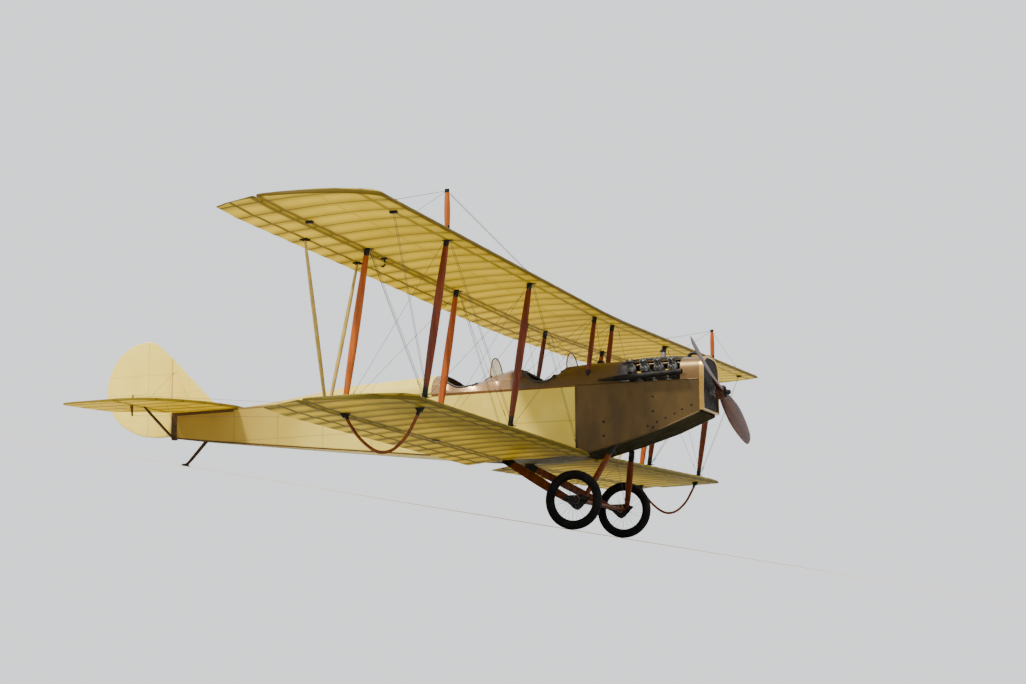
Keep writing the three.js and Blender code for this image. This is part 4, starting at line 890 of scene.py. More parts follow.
# The outline of an elevator's horn: x from 11 mm behind the hinge line, height.
HORN = [
    (0.012, 0.118), (0.002, 0.118), (-0.034, 0.016), (-0.034, -0.016), (-0.008, -0.150), (0.010, -0.150),
    (0.012, 0),
]
for side_name, side in SIDES.items():
    body = f"elevator_{side_name}"
    at_side = AT_TAILPLANE @ Matrix.Diagonal((1, side, 1, 1))
    bm = bmesh.new()
    flat_surface(
        bm, elevator_edge, 0.017, 0.015, 0.26, 0.13, 0.003, thin=((ELEVATOR_FRONT, 1), (-6.5, 0.5)),
    )
    lifted(bm, at_side)
    as_piece(bm, f"{body}_linen", tail_linen, [body], body)
    bm = bmesh.new()
    skin(bm, [[Vector((TAIL_HINGE_X - 0.011 + x, y, z)) for x, z in HORN] for y in (0.875, 0.883)])
    lifted(bm, at_side)
    as_piece(bm, f"elevator_horn_{side_name}", bronze_lacquer, body=body)

UPRIGHT = Matrix.Rotation(math.pi / 2, 4, "X")
FIN_BACK = -5.692
FIN_FOOT = 1.398
FIN_TOP = 2.046
fin_edge = [Vector((FIN_BACK, z, 0)) for z in (FIN_FOOT, 1.6, 1.82, FIN_TOP)]
fin_edge += [Vector((FIN_BACK + 0.660 * t, FIN_TOP - 0.646 * t, 0)) for t in (0.2, 0.4, 0.6, 0.8, 0.97)]
fin_edge += [Vector((x, FIN_FOOT, 0)) for x in (-5.06, -5.25, -5.45)]
bm = bmesh.new()
flat_surface(bm, fin_edge, 0.015, 0.012, 0.22, 1.40, 0.002)
lifted(bm, UPRIGHT)
as_piece(bm, "fin_linen", fin_linen, ["fin"])

RUDDER_FRONT = TAIL_HINGE_X + 0.014
rudder_edge = [Vector((RUDDER_FRONT, z, 0)) for z in (2.055, 1.75, 1.40, 1.061)]
rudder_edge += [Vector((-5.80, 1.057, 0))]
rudder_edge += curved([
    (-5.90, 1.056, 0), (-6.14, 1.088, 0), (-6.34, 1.172, 0), (-6.51, 1.300, 0), (-6.625, 1.480, 0),
    (-6.667, 1.690, 0), (-6.620, 1.920, 0), (-6.500, 2.109, 0), (-6.310, 2.245, 0), (-6.09, 2.295, 0),
    (-5.95, 2.262, 0), (-5.85, 2.185, 0),
], 4)
rudder_edge += [Vector((-5.775, 2.122, 0))]
bm = bmesh.new()
flat_surface(bm, rudder_edge, 0.014, 0.012, 0.24, 1.18, 0.002, thin=((RUDDER_FRONT, 1), (-6.66, 0.6)))
lifted(bm, UPRIGHT)
as_piece(bm, "rudder_linen", fin_linen, ["rudder"], "rudder")
print("tail skinned")

# %% [markdown]
# Behind the cockpits the fuselage is four longerons with frames between them, under one envelope of linen
# and a rounded decking. It is carried through sections along its length, and the flat sides are drawn in
# between the frames. Ahead of that, the sides are flat boards and cloth, kept as the solids have them.
# %% Rear fuselage
COCKPIT_END_X = -1.960
STERNPOST_X = -5.690
ARCH_POWER = 2.3
ARCH_STEPS = 18
REAR_STEPS = 48


def arch():
    """Half an arch from edge to crown and down, as fractions of the half width and the height."""
    points = []
    for i in range(ARCH_STEPS + 1):
        turn = math.pi * i / ARCH_STEPS
        across = math.copysign(abs(math.cos(turn)) ** (2 / ARCH_POWER), math.cos(turn))
        points.append((across, max(0, math.sin(turn)) ** (2 / ARCH_POWER)))
    return points


def deck_height(x, y):
    """Height of the decking's top at a place."""
    share = min(1, abs(y) / look_up(BREADTH, x))
    return LONGERON_Z + look_up(DECKING, x) * (1 - share ** ARCH_POWER) ** (1 / ARCH_POWER)


def rear_section(x):
    """A section of the rear fuselage: decking, flat sides and bottom with rounded corners."""
    half = look_up(BREADTH, x)
    low = look_up(BELLY, x)
    deck = look_up(DECKING, x)
    around = FUSELAGE_FRAMES + [-5.40, COCKPIT_END_X]
    near = sorted(around, key=lambda frame_x: abs(frame_x - x))[:2]
    share = min(1, abs(x - near[0]) / (abs(near[0] - near[1]) / 2))
    pull = 0.004 * share * (2 - share) * min(1, half / 0.15)
    rise = LONGERON_Z - low
    points = [Vector((x, half * u, LONGERON_Z + deck * v)) for u, v in arch()]
    corner = min(0.014, half * 0.3)
    for side in (-1, 1):
        wall = []
        for t in (0.06, 0.2, 0.5, 0.8, 0.94):
            inward = pull * math.sin(math.pi * t)
            wall.append(Vector((x, side * (half - inward), LONGERON_Z - rise * t)))
        wall.append(Vector((x, side * half, low + corner)))
        wall.append(Vector((x, side * (half - corner * 0.3), low + corner * 0.3)))
        wall.append(Vector((x, side * (half - corner), low)))
        points += wall if side < 0 else list(reversed(wall))
    return points


tail_run = STERNPOST_X - COCKPIT_END_X
rear_x = [COCKPIT_END_X - 0.0003 + tail_run * i / REAR_STEPS for i in range(REAR_STEPS)] + [STERNPOST_X]
bm = bmesh.new()
skin(bm, [rear_section(x) for x in rear_x])
as_piece(bm, "rear_fuselage_linen", side_linen, ["rear_fuselage"])
print("rear fuselage:", len(rear_x), "sections")

# %% [markdown]
# Every strut is planed to a streamline and swells at mid-length, where it would buckle first. A stretched
# box would look like a plank, so the smooth section is carried along the strut with that swelling.
# %% Struts
def streamline(breadth, thickness, count=18):
    """A streamlined ring, as distances forward and across."""
    return [
        (0.5 * breadth * math.cos(a), 0.43 * thickness * math.sin(a) * (1 + 0.35 * math.cos(a)))
        for a in evenly_round(count)
    ]


def streamlined_skin(bm, start, along, rows, breadth, thickness):
    """A skin over streamlined rings. rows: share of the way along, size."""
    across = along.cross(Vector((1, 0, 0))).normalized()
    forward = across.cross(along).normalized()
    ring = streamline(breadth, thickness)
    skin(bm, [
        [start + along * t + forward * (u * size) + across * (v * size) for u, v in ring]
        for t, size in rows
    ])


def streamlined(bm, foot, head, breadth, thickness, plain=0.62, steps=14):
    """A streamlined strut, broad fore and aft, that swells at mid-length."""
    shares = [i / steps for i in range(steps + 1)]
    rows = [(t, plain + (1 - plain) * math.sin(math.pi * t) ** 0.7) for t in shares]
    streamlined_skin(bm, Vector(foot), Vector(head) - Vector(foot), rows, breadth, thickness * 0.98)


WIRE = 0.0021
CABLE = 0.0016
BARREL = 0.0046
BARREL_NECK = BARREL * 0.62
SPARS = {"front": FRONT_SPAR, "rear": REAR_SPAR}
STRUT_FOOT = {"front": 0.080, "rear": 0.060}
STRUT_HEAD = {"front": 0.032, "rear": 0.042}


def strut_ends(y, which):
    """Foot and head of an interplane strut, sunk in the wings."""
    return (
        wing_point(LOWER, y, SPARS[which], STRUT_FOOT[which]),
        wing_point(UPPER, y, SPARS[which], STRUT_HEAD[which]),
    )


def barrel(bm, start, end):
    """A turnbuckle on a wire, near its start."""
    along = (end - start).normalized()
    middle = start + along * min(0.12, (end - start).length * 0.3)
    rod(bm, middle - along * 0.035, middle - along * 0.012, BARREL_NECK, 8, BARREL)
    rod(bm, middle - along * 0.012, middle + along * 0.012, BARREL, 8)
    rod(bm, middle + along * 0.012, middle + along * 0.035, BARREL, 8, BARREL_NECK)


def wire(bm, start, end, double=0.0, radius=WIRE):
    """A taut wire, or two side by side, with a turnbuckle at its start."""
    for shift in ([-double / 2, double / 2] if double else [0]):
        near = Vector(start) + Vector((shift, 0, 0))
        far = Vector(end) + Vector((shift, 0, 0))
        rod(bm, near, far, radius, 6)
        barrel(bm, near, far)


for side_name, side in SIDES.items():
    for place_name, y in (("inner", INNER_STRUT), ("outer", OUTER_STRUT)):
        ends = {which: strut_ends(side * y, which) for which in SPARS}
        # The rear struts take the sunlit copy of the mahogany: painted sunlight.
        for which, wood in (("front", mahogany), ("rear", sunlit_wood)):
            bm = bmesh.new()
            streamlined(bm, *ends[which], 0.088, 0.044, 0.5)
            as_piece(bm, f"{place_name}_{which}_strut_{side_name}", wood,
                     [f"{place_name}_struts_{side_name}"])
        bm = bmesh.new()
        for low, high in (("front", "rear"), ("rear", "front")):
            foot, head = ends[low][0], ends[high][1]
            wire(bm, foot.lerp(head, 0.03), foot.lerp(head, 0.965))
        as_piece(bm, f"{place_name}_incidence_wires_{side_name}", wire_steel)
    post_foot = wing_point(UPPER, side * OUTER_STRUT, FRONT_SPAR, 0.060)
    post_head = Vector((post_foot.x, post_foot.y, 2.712))
    bm = bmesh.new()
    streamlined(bm, post_foot, post_head, 0.062, 0.044)
    # The king post takes the sunlit copy of the mahogany: painted sunlight.
    as_piece(bm, f"king_post_{side_name}_wood", sunlit_wood,
             [f"king_post_{side_name}"])
print("struts planed")

# %% [markdown]
# The ailerons of each side are joined by a V of slim pale struts. Its two heads turn between steel cheeks
# under the upper aileron, and its foot stands over the lower one. It stays upright as they turn, so it rides
# on a body of its own. The bow skids under the wing tips are bent canes with a rubbing block, held at each
# end by a steel fitting.
# %% Links and bow skids
LINK_BEHIND = AILERON_HINGE + 0.252
LINK_HEADS = (4.073, 5.189)
LINK_FOOT = 4.240
EYE_RADIUS = 0.009
# Heights over the chord line of the upper aileron's lower face and of the lower aileron's upper face.
FACE_OVER_HEADS = 0.01034
FACE_UNDER_FOOT = 0.03202
LINK_HEAD_HEIGHT = FACE_OVER_HEADS - EYE_RADIUS - 0.0004
LINK_FOOT_HEIGHT = FACE_UNDER_FOOT + EYE_RADIUS + 0.006
# The bow's middle line: x, height. Its fitting's outline: distances forward and up.
BOW = [
    (-0.190, 0.640), (-0.245, 0.520), (-0.350, 0.350), (-0.500, 0.232), (-0.660, 0.232), (-0.830, 0.360),
    (-0.950, 0.520), (-1.000, 0.625),
]
BOW_SHOE = [(-0.046, 0.012), (0.046, 0.012), (0.019, -0.032), (-0.019, -0.032)]
for side_name, side in SIDES.items():
    link = f"aileron_link_{side_name}"
    foot = wing_point(LOWER, side * LINK_FOOT, LINK_BEHIND, LINK_FOOT_HEIGHT)
    heads = [wing_point(UPPER, side * y, LINK_BEHIND, LINK_HEAD_HEIGHT) for y in LINK_HEADS]
    bm = bmesh.new()
    for head in heads:
        streamlined(bm, foot, head.lerp(foot, 0.004), 0.046, 0.026, 0.55)
    as_piece(bm, f"{link}_wood", pale_strut, [link], link)
    bm = bmesh.new()
    hinge_line = Vector((0, math.cos(DIHEDRAL), side * math.sin(DIHEDRAL)))
    for eye in [foot] + heads:
        rod(bm, eye - hinge_line * 0.014, eye + hinge_line * 0.014, EYE_RADIUS - 0.0002, 14)
    as_piece(bm, f"aileron_link_eyes_{side_name}", black_steel, body=link)
    bm = bmesh.new()
    for head in heads:
        for aside in (-0.026, 0.026):
            block(bm, head + Vector((0, aside, 0.004)), (0.084, 0.005, 0.022))
    upper_aileron = f"upper_aileron_{side_name}"
    as_piece(bm, f"aileron_link_cheeks_{side_name}", black_steel, body=upper_aileron)

    bm = bmesh.new()
    tube(bm, curved([(x, side * OUTER_STRUT, z) for x, z in BOW], 5), 0.0160, 12)
    block(bm, (-0.600, side * OUTER_STRUT, 0.2190), (0.070, 0.032, 0.026))
    as_piece(bm, f"bow_skid_{side_name}_wood", cane, [f"bow_skid_{side_name}"])
    bm = bmesh.new()
    for (x, z), (below_x, below_z) in ((BOW[0], BOW[1]), (BOW[-1], BOW[-2])):
        end = Vector((x, side * OUTER_STRUT, z))
        run = Vector((below_x, side * OUTER_STRUT, below_z)) - end
        rod(bm, end + run * 0.30, end + run * 0.70, 0.0185, 16)
        middle = end + run.normalized() * 0.030
        skin(bm, [
            [middle + Vector((ahead, aside, up)) for ahead, up in BOW_SHOE] for aside in (-0.017, 0.017)
        ])
    as_piece(bm, f"bow_skid_fittings_{side_name}", black_steel)
print("links and bow skids bent")

# %% [markdown]
# Four streamlined struts carry the centre section over the front cockpit. Crossed wires brace them across
# and along. The undercarriage is a V of broad ash struts on each side with a steel plate at its foot, the
# axle lashed to it with cord rubber, and crossed wires between the legs.
# %% Cabane and undercarriage
# Each strut's foot and the spar over it: x, height, spar.
CABANE = [(-0.020, 1.415, FRONT_SPAR), (-0.885, 1.460, REAR_SPAR)]
cabane_ends = {}
bm = bmesh.new()
for side in SIDES.values():
    for i, (x, z, spar) in enumerate(CABANE):
        foot = Vector((x, side * 0.318, z))
        head = wing_point(UPPER, side * 0.310, spar, 0.030)
        cabane_ends[i, side] = (foot, head)
        streamlined(bm, foot, head, 0.062, 0.030)
as_piece(bm, "cabane_wood", mahogany, ["cabane"])
bm = bmesh.new()
for side in SIDES.values():
    for i in (0, 1):
        foot, head = cabane_ends[i, side][0], cabane_ends[i, -side][1]
        wire(bm, foot.lerp(head, 0.05), foot.lerp(head, 0.96))
    for i in (0, 1):
        foot, head = cabane_ends[i, side][0], cabane_ends[1 - i, side][1]
        wire(bm, foot.lerp(head, 0.04), foot.lerp(head, 0.97))
as_piece(bm, "cabane_wires", wire_steel)

# Each leg: x and height of its top, x of its foot, breadth, thickness.
GEAR = [(0.292, 0.640, 0.070, 0.078, 0.038), (-1.040, 0.540, -0.085, 0.118, 0.040)]
GEAR_FOOT_Y = 0.760
GEAR_TOP_Y = 0.322
# Outline of the plate at the legs' feet, and its bolts: x, height.
GEAR_PLATE = [
    (0.150, 0.030), (0.060, 0.062), (-0.110, 0.062), (-0.165, 0.040), (-0.040, -0.085), (-0.008, -0.105),
    (0.008, -0.105), (0.045, -0.080),
]
PLATE_BOLTS = [(0.10, 0.038), (0.05, 0.045), (-0.10, 0.047), (-0.05, 0.050), (0.0, -0.085)]
for side_name, side in SIDES.items():
    bm = bmesh.new()
    for top_x, top_z, foot_x, breadth, thickness in GEAR:
        foot = (foot_x, side * GEAR_FOOT_Y, 0)
        streamlined(bm, foot, (top_x, side * GEAR_TOP_Y, top_z), breadth, thickness)
    as_piece(bm, f"gear_leg_{side_name}_wood", ash, [f"gear_leg_{side_name}"])
    bm = bmesh.new()
    for out in (0.0205, -0.0235):
        faces = (GEAR_FOOT_Y + out, GEAR_FOOT_Y + out + 0.003)
        skin(bm, [[Vector((x, side * y, z)) for x, z in GEAR_PLATE] for y in faces])
    for x, z in PLATE_BOLTS:
        rod(bm, (x, side * (GEAR_FOOT_Y - 0.027), z), (x, side * (GEAR_FOOT_Y + 0.027), z), 0.006, 6)
    as_piece(bm, f"gear_plate_{side_name}", black_steel)
    bm = bmesh.new()
    for i in range(7):
        y = side * (GEAR_FOOT_Y - 0.040 + 0.0125 * i)
        if abs(abs(y) - GEAR_FOOT_Y) < 0.020:
            continue
        path = [
            Vector((0.030 * math.cos(a) * (1 + 0.2 * math.cos(2 * a)), y, 0.010 + 0.046 * math.sin(a)))
            for a in evenly_round(20)
        ]
        looped_tube(bm, path, [0.0062] * len(path), 8)
    as_piece(bm, f"shock_cord_{side_name}", binding)

bm = bmesh.new()
rod(bm, (0, -0.945, 0), (0, 0.945, 0), 0.020, 24)
as_piece(bm, "axle_tube", black_steel)
bm = bmesh.new()
reach = GEAR_FOOT_Y - 0.010
skin(bm, [
    [Vector((ahead, reach * share, up)) for ahead, up in streamline(0.130, 0.046, 24)]
    for share in (-1, -0.5, 0, 0.5, 1)
])
as_piece(bm, "axle_fairing", ash, ["axle"])
bm = bmesh.new()
for top_x, top_z, foot_x, _, _ in GEAR:
    for side in SIDES.values():
        foot = Vector((foot_x, side * (GEAR_FOOT_Y - 0.030), 0.045))
        head = Vector((top_x, -side * (GEAR_TOP_Y - 0.005), top_z - 0.030))
        wire(bm, foot, head)
as_piece(bm, "gear_wires", wire_steel)
print("undercarriage stands on", 2 * HALF_TRACK, "m of track")

# %% [markdown]
# A wire wheel is a rolled rim, a long hub and forty tangent spokes, with a beaded tyre. Rim, hub and tyre
# are turned from their profiles. The spokes go from alternate flanges to the rim and cross each other.
# %% Wheels
RIM_INNER = 0.232
RIM_OUTER = 0.250
RIM_HALF = 0.036
TYRE_RING = 0.279
TYRE_SECTION = 0.051
HUB_RADIUS = 0.034
HUB_HALF = 0.062
AXLE_BORE = 0.0209
SPOKES = 40
rim_half = [
    (RIM_INNER + 0.002, -0.016), (RIM_INNER + 0.006, -0.026), (RIM_INNER + 0.016, -0.034),
    (RIM_OUTER, -RIM_HALF), (RIM_OUTER - 0.004, -0.030), (RIM_INNER + 0.011, -0.022),
]
hub_half = [
    (AXLE_BORE, -HUB_HALF), (0.030, -HUB_HALF), (0.032, -0.058), (0.032, -0.054), (HUB_RADIUS, -0.053),
    (HUB_RADIUS, -0.046), (0.028, -0.044), (0.026, -0.030),
]


def mirrored(half):
    """The other half of a profile of (radius, distance along the axis)."""
    return [(radius, -reach) for radius, reach in reversed(half)]


rim_profile = rim_half + [(RIM_INNER + 0.009, 0)] + mirrored(rim_half) + [(RIM_INNER, 0)]
hub_profile = hub_half + mirrored(hub_half)
tyre_profile = [
    (TYRE_RING + TYRE_SECTION * math.cos(a), TYRE_SECTION * math.sin(a)) for a in evenly_round(28)
]
for side_name, side in SIDES.items():
    body = f"wheel_{side_name}"
    centre = Vector((0, side * HALF_TRACK, 0))
    bm = bmesh.new()
    turned(bm, rim_profile, centre, steps=96)
    as_piece(bm, f"{body}_rim", black_steel, [body], body)
    bm = bmesh.new()
    turned(bm, hub_profile, centre, steps=32)
    for a in evenly_round(6):
        out = Vector((0.027 * math.cos(a), side * 0.0625, 0.027 * math.sin(a)))
        ball(bm, centre + out, 0.003, (1, 0.6, 1), 8)
    as_piece(bm, f"{body}_hub", black_steel, body=body)
    bm = bmesh.new()
    for i, a in enumerate(evenly_round(SPOKES)):
        lean = a + (0.30 if i % 4 < 2 else -0.30)
        hand = 1 if i % 2 else -1
        inner = centre + Vector((0.0325 * math.cos(a), hand * 0.049, 0.0325 * math.sin(a)))
        outer = centre + Vector((0.238 * math.cos(lean), hand * 0.004, 0.238 * math.sin(lean)))
        rod(bm, inner, outer, 0.0014, 6)
        rod(bm, inner.lerp(outer, 0.93), outer, 0.0028, 6)
    as_piece(bm, f"{body}_spokes", wire_steel, body=body)
    bm = bmesh.new()
    turned(bm, tyre_profile, centre, steps=112)
    as_piece(bm, f"tyre_{side_name}_rubber", rubber, [f"tyre_{side_name}"], body)
print("wheels laced with", SPOKES, "spokes each")

# %% [markdown]
# The airscrew is carved from glued boards. Its section turns as it goes out, coarse near the hub and fine
# at the tip, so it is a skin over twisted sections. Steel plates and bolts hold a turned boss of wood.
# %% Propeller
# Stations of a blade: radius, chord, thickness, pitch in degrees.
BLADE = [
    (0.030, 0.090, 0.070, 60), (0.140, 0.125, 0.062, 50), (0.330, 0.175, 0.042, 36),
    (0.600, 0.225, 0.030, 25), (0.880, 0.215, 0.022, 19), (1.090, 0.175, 0.015, 16),
    (1.200, 0.125, 0.011, 15), (1.247, 0.064, 0.007, 14),
]
BLADE_TURN = math.radians(-20.7)
BLADE_SECTION = curved([
    (0.5, 0, 0), (0.3, 0.42, 0), (0, 0.5, 0), (-0.3, 0.36, 0), (-0.5, 0, 0), (-0.3, -0.12, 0),
    (0.3, -0.12, 0),
], 3, closed=True)
blade_rows = curved([(radius, chord, thick) for radius, chord, thick, _ in BLADE], 4)
bm = bmesh.new()
for sense in (1, -1):
    sections = []
    for radius, chord, thick in blade_rows:
        pitch = math.radians(look_up([(row[0], row[3]) for row in BLADE], radius))
        ring = []
        for p in BLADE_SECTION:
            u, v = p.x * chord, p.y * thick
            ring.append(Vector((
                u * math.sin(pitch) + v * math.cos(pitch),
                sense * radius,
                sense * (u * math.cos(pitch) - v * math.sin(pitch)),
            )))
        sections.append(ring)
    skin(bm, sections)
turned(bm, [
    (0.0345, -0.050), (0.076, -0.050), (0.081, -0.044), (0.081, 0.037), (0.076, 0.043), (0.0345, 0.043),
], (0, 0, 0), "X", 48)
AT_HUB = Matrix.Translation((PROPELLER_X, 0, CRANK_Z)) @ Matrix.Rotation(BLADE_TURN, 4, "X")
lifted(bm, AT_HUB)
as_piece(bm, "propeller_wood", airscrew_wood, ["propeller"], "propeller")
bm = bmesh.new()
for back, face in ((0.042, 0.0465), (-0.0535, -0.049)):
    turned(bm, [(0.026, back), (0.064, back), (0.064, face), (0.026, face)], (0, 0, 0), "X", 40)
turned(bm, [
    (0.006, 0.046), (0.038, 0.046), (0.038, 0.060), (0.030, 0.066), (0.027, 0.096), (0.018, 0.108),
    (0.006, 0.110),
], (0, 0, 0), "X", 32)
for a in evenly_round(8):
    y, z = 0.052 * math.cos(a + 0.2), 0.052 * math.sin(a + 0.2)
    rod(bm, (-0.0535, y, z), (0.056, y, z), 0.0055, 6)
    rod(bm, (0.0465, y, z), (0.053, y, z), 0.0095, 6)
lifted(bm, AT_HUB)
as_piece(bm, "propeller_boss", black_steel, body="propeller")
print("airscrew", 2 * BLADE[-1][0], "m across")

# %% [markdown]
# The engine sits in the nose between flat sheets. The cowl's sides and bottom are thin bronzed metal with
# a rolled lower lip, held by turned fasteners. These panels keep the solids' shapes: each is a merged copy
# of its node with its edges softened, and the lips, seams and fasteners are added over it.
# %% Cowl panels
FIREWALL_X = -0.160
RADIATOR_BACK = 1.305
RADIATOR_FRONT = 1.357


def from_solid(node_name, material, soften=0.0012, sharp=math.radians(30)):
    """A merged copy of a solid with softened edges, which stands for it."""
    bm = bmesh.new()
    bm.from_mesh(frame["nodes"][node_name].data)
    bmesh.ops.remove_doubles(bm, verts=bm.verts, dist=1e-5)
    bmesh.ops.dissolve_limit(bm, angle_limit=math.radians(0.6), verts=bm.verts, edges=bm.edges)
    bodies = frame["record"]["behaviour"]["bodies"]
    body = next(name for name, nodes in bodies.items() if node_name in nodes)
    name = f"{node_name}_finished"
    piece = as_piece(bm, name, material, [node_name], body, level=False, sharp=sharp)
    if soften:
        edge = piece.modifiers.new("softened edges", "BEVEL")
        edge.width = soften
        edge.segments = 2
        edge.limit_method = "ANGLE"
        edge.angle_limit = math.radians(35)


for side_name in SIDES:
    from_solid(f"cowl_side_{side_name}", bronze_lacquer)
    from_solid(f"fuselage_side_{side_name}", side_linen, soften=0)
# The cowl's bottom is darkened as painted shade.
from_solid("cowl_bottom", shaded_sheet)
# The fuselage's floor is darkened as painted shade.
from_solid("fuselage_floor", floor_linen, soften=0)
from_solid("firewall", cast_grey)
from_solid("front_deck", deck_lacquer)
from_solid("rear_deck", beige_lacquer)
from_solid("nose_hood", hood_metal, sharp=math.radians(40))
from_solid("radiator", brass, soften=0.004, sharp=math.radians(40))
from_solid("tail_braces", dark_wood, soften=0.002)
for name in ("front_seat", "rear_seat"):
    from_solid(name, ply, soften=0.002)
from_solid("control_sticks", ash, soften=0.001, sharp=math.radians(50))

# %% [markdown]
# The tail skid is a bent bar of wood that drags a steel shoe over the grass. A straight bar would look
# stiff, so it is a tube along a curve, thinner towards its foot. The shoe is turned to lie on the floor.
# %% Tail skid
SKID_TIP = Vector((-SKID_BACK, 0, SKID_UP))
# The bar's middle line: x, height, radius.
SKID_LEG = [
    (-5.150, 1.031, 0.023), (-5.280, 0.897, 0.022), (-5.400, 0.774, 0.020), (-5.462, 0.716, 0.018),
    (-5.500, 0.7025, 0.014), (-5.538, 0.7065, 0.009),
]
bm = bmesh.new()
leg_line = curved([(x, 0, z) for x, z, _ in SKID_LEG], 4)
leg_size = [(x, radius) for x, _, radius in SKID_LEG]
tube(bm, leg_line, [look_up(leg_size, point.x) for point in leg_line], 16)
as_piece(bm, "tail_skid_wood", dark_wood, ["tail_skid"])
bm = bmesh.new()
flat = Matrix.Rotation(PARKED, 4, "Y")
block(bm, SKID_TIP + flat @ Vector((-0.012, 0, 0.007)), (0.100, 0.056, 0.0138), flat)
block(bm, SKID_TIP + flat @ Vector((0.012, 0, 0.026)), (0.030, 0.034, 0.030), flat)
as_piece(bm, "tail_skid_shoe", black_steel)
print("tail skid bent")

# %% [markdown]
# The cowl's lower edge is rolled round a wire, a strap covers the seam at the firewall, and turned buttons
# hold the panels. A bump in the material could hint at these, but they stand proud and catch the light, so
# they are tubes, blocks and buttons of their own.
# %% Lips, seams and fasteners
def fastener(bm, x, side, z, radius=0.014):
    """A turned button on the cowl's side."""
    half = look_up(BREADTH, x)
    rod(bm, (x, side * (half - 0.002), z), (x, side * (half + 0.0025), z), radius, 16)
    ball(bm, (x, side * (half + 0.002), z), radius * 0.72, (1, 0.45, 1), 12)


# Fasteners on the cowl's side: x, z.
LATCHES = [(0.763, 1.179), (0.763, 1.008), (0.763, 0.826), (0.180, 0.916), (0.180, 0.756)]
EDGE_ROW = [(0.910, 0.925), (1.015, 0.969), (1.102, 1.015), (1.212, 1.058), (0.810, 0.885), (0.700, 0.842)]
LIP_STEPS = 29
lip_run = FIREWALL_X - (RADIATOR_BACK - 0.01)
lip_x = [RADIATOR_BACK - 0.01 + lip_run * i / LIP_STEPS for i in range(LIP_STEPS + 1)]
seam_x = FIREWALL_X + 0.012
seam_foot = look_up(BELLY, seam_x) + 0.006
seam_head = LONGERON_Z - 0.006
for side_name, side in SIDES.items():
    bm = bmesh.new()
    tube(bm, [(x, side * look_up(BREADTH, x), look_up(BELLY, x) + 0.004) for x in lip_x], 0.0075, 10)
    seam_at = (seam_x, side * (look_up(BREADTH, seam_x) + 0.0005), (seam_foot + seam_head) / 2)
    block(bm, seam_at, (0.024, 0.003, seam_head - seam_foot))
    tube(bm, [(x, side * (look_up(BREADTH, x) - 0.001), LONGERON_Z - 0.004)
              for x in (RADIATOR_BACK - 0.012, 0.9, 0.4, FIREWALL_X + 0.004)], 0.006, 8)
    as_piece(bm, f"cowl_lips_{side_name}", bronze_lacquer)
    bm = bmesh.new()
    for x, z in LATCHES:
        fastener(bm, x, side, z)
    for x, z in EDGE_ROW:
        fastener(bm, x, side, z, 0.0125)
    as_piece(bm, f"cowl_fasteners_{side_name}", black_steel)
print("fasteners:", 2 * (len(LATCHES) + len(EDGE_ROW)))

# %% [markdown]
# The radiator is a polished shell round a honeycomb of thin tubes. From the side only the grain of the core
# shows, so it is a recessed plate with close upright fins and flat cross tubes over it.
# %% Radiator core
CORE_FACE = RADIATOR_FRONT - 0.0155
CORE_INSET = 0.020
CORE_POWER = 3.4
CORE_COLUMNS = 62
CORE_ROWS = 34
SHAFT_HOLE = 0.050
radiator_half = look_up(BREADTH, RADIATOR_FRONT) - CORE_INSET
radiator_foot = look_up(BELLY, RADIATOR_FRONT) + CORE_INSET
radiator_rise = look_up(DECKING, RADIATOR_FRONT) - CORE_INSET


def core_arch(share):
    """The core's rounded top: its height as a share, at a share of its half width, or the reverse."""
    return max(0, 1 - min(1, share) ** CORE_POWER) ** (1 / CORE_POWER)


def hole_half(away):
    """Half the width of the shaft's hole at a distance from its middle, or 0 beside it."""
    return math.sqrt(max(0, SHAFT_HOLE ** 2 - away * away))


bm = bmesh.new()
for i in range(CORE_COLUMNS):
    y = -radiator_half + 2 * radiator_half * (i + 0.5) / CORE_COLUMNS
    top = LONGERON_Z + radiator_rise * core_arch(abs(y) / radiator_half) - 0.001
    gap = hole_half(y)
    spans = [(radiator_foot, CRANK_Z - gap), (CRANK_Z + gap, top)] if gap else [(radiator_foot, top)]
    for start, end in spans:
        rod(bm, (CORE_FACE + 0.0012, y, start), (CORE_FACE + 0.0012, y, end), 0.0022, 4)
for i in range(CORE_ROWS):
    z = radiator_foot + (LONGERON_Z + radiator_rise - radiator_foot) * (i + 0.5) / CORE_ROWS
    half = radiator_half * core_arch(max(0, z - LONGERON_Z) / radiator_rise)
    if half < 0.02:
        continue
    gap = hole_half(z - CRANK_Z)
    for start, end in [(-half, -gap), (gap, half)] if gap else [(-half, half)]:
        rod(bm, (CORE_FACE + 0.003, start, z), (CORE_FACE + 0.003, end, z), 0.0013, 4)
as_piece(bm, "radiator_core", core_black)

bm = bmesh.new()
rod(bm, (1.331, 0, 1.615), (1.331, 0, 1.640), 0.030, 24)
rod(bm, (1.331, 0, 1.640), (1.331, 0, 1.652), 0.036, 24, 0.033)
ball(bm, (1.331, 0, 1.653), 0.012, (1, 1, 0.7), 12)
as_piece(bm, "radiator_cap", brass)
print("radiator core with", CORE_COLUMNS, "fins")

# %% [markdown]
# The engine is a V of eight upright cylinders, and its upper half stands bare over the cowl. Each
# cylinder is a turned barrel with a water jacket, a domed head, two valves with coil springs, rockers,
# push rods and a spark plug. They are made once on the Z axis, turned out by 45 degrees and repeated.
# %% Engine
CYLINDERS = (0.500, 0.665, 0.830, 0.995)
BANK = math.radians(45)


def cylinder_place(x, side):
    """The place of one cylinder: its own z runs up its bore, and its own y outboard."""
    lean = Matrix.Rotation(-side * BANK, 4, "X") @ Matrix.Diagonal((1, side, 1, 1))
    return Matrix.Translation((x, 0, CRANK_Z)) @ lean


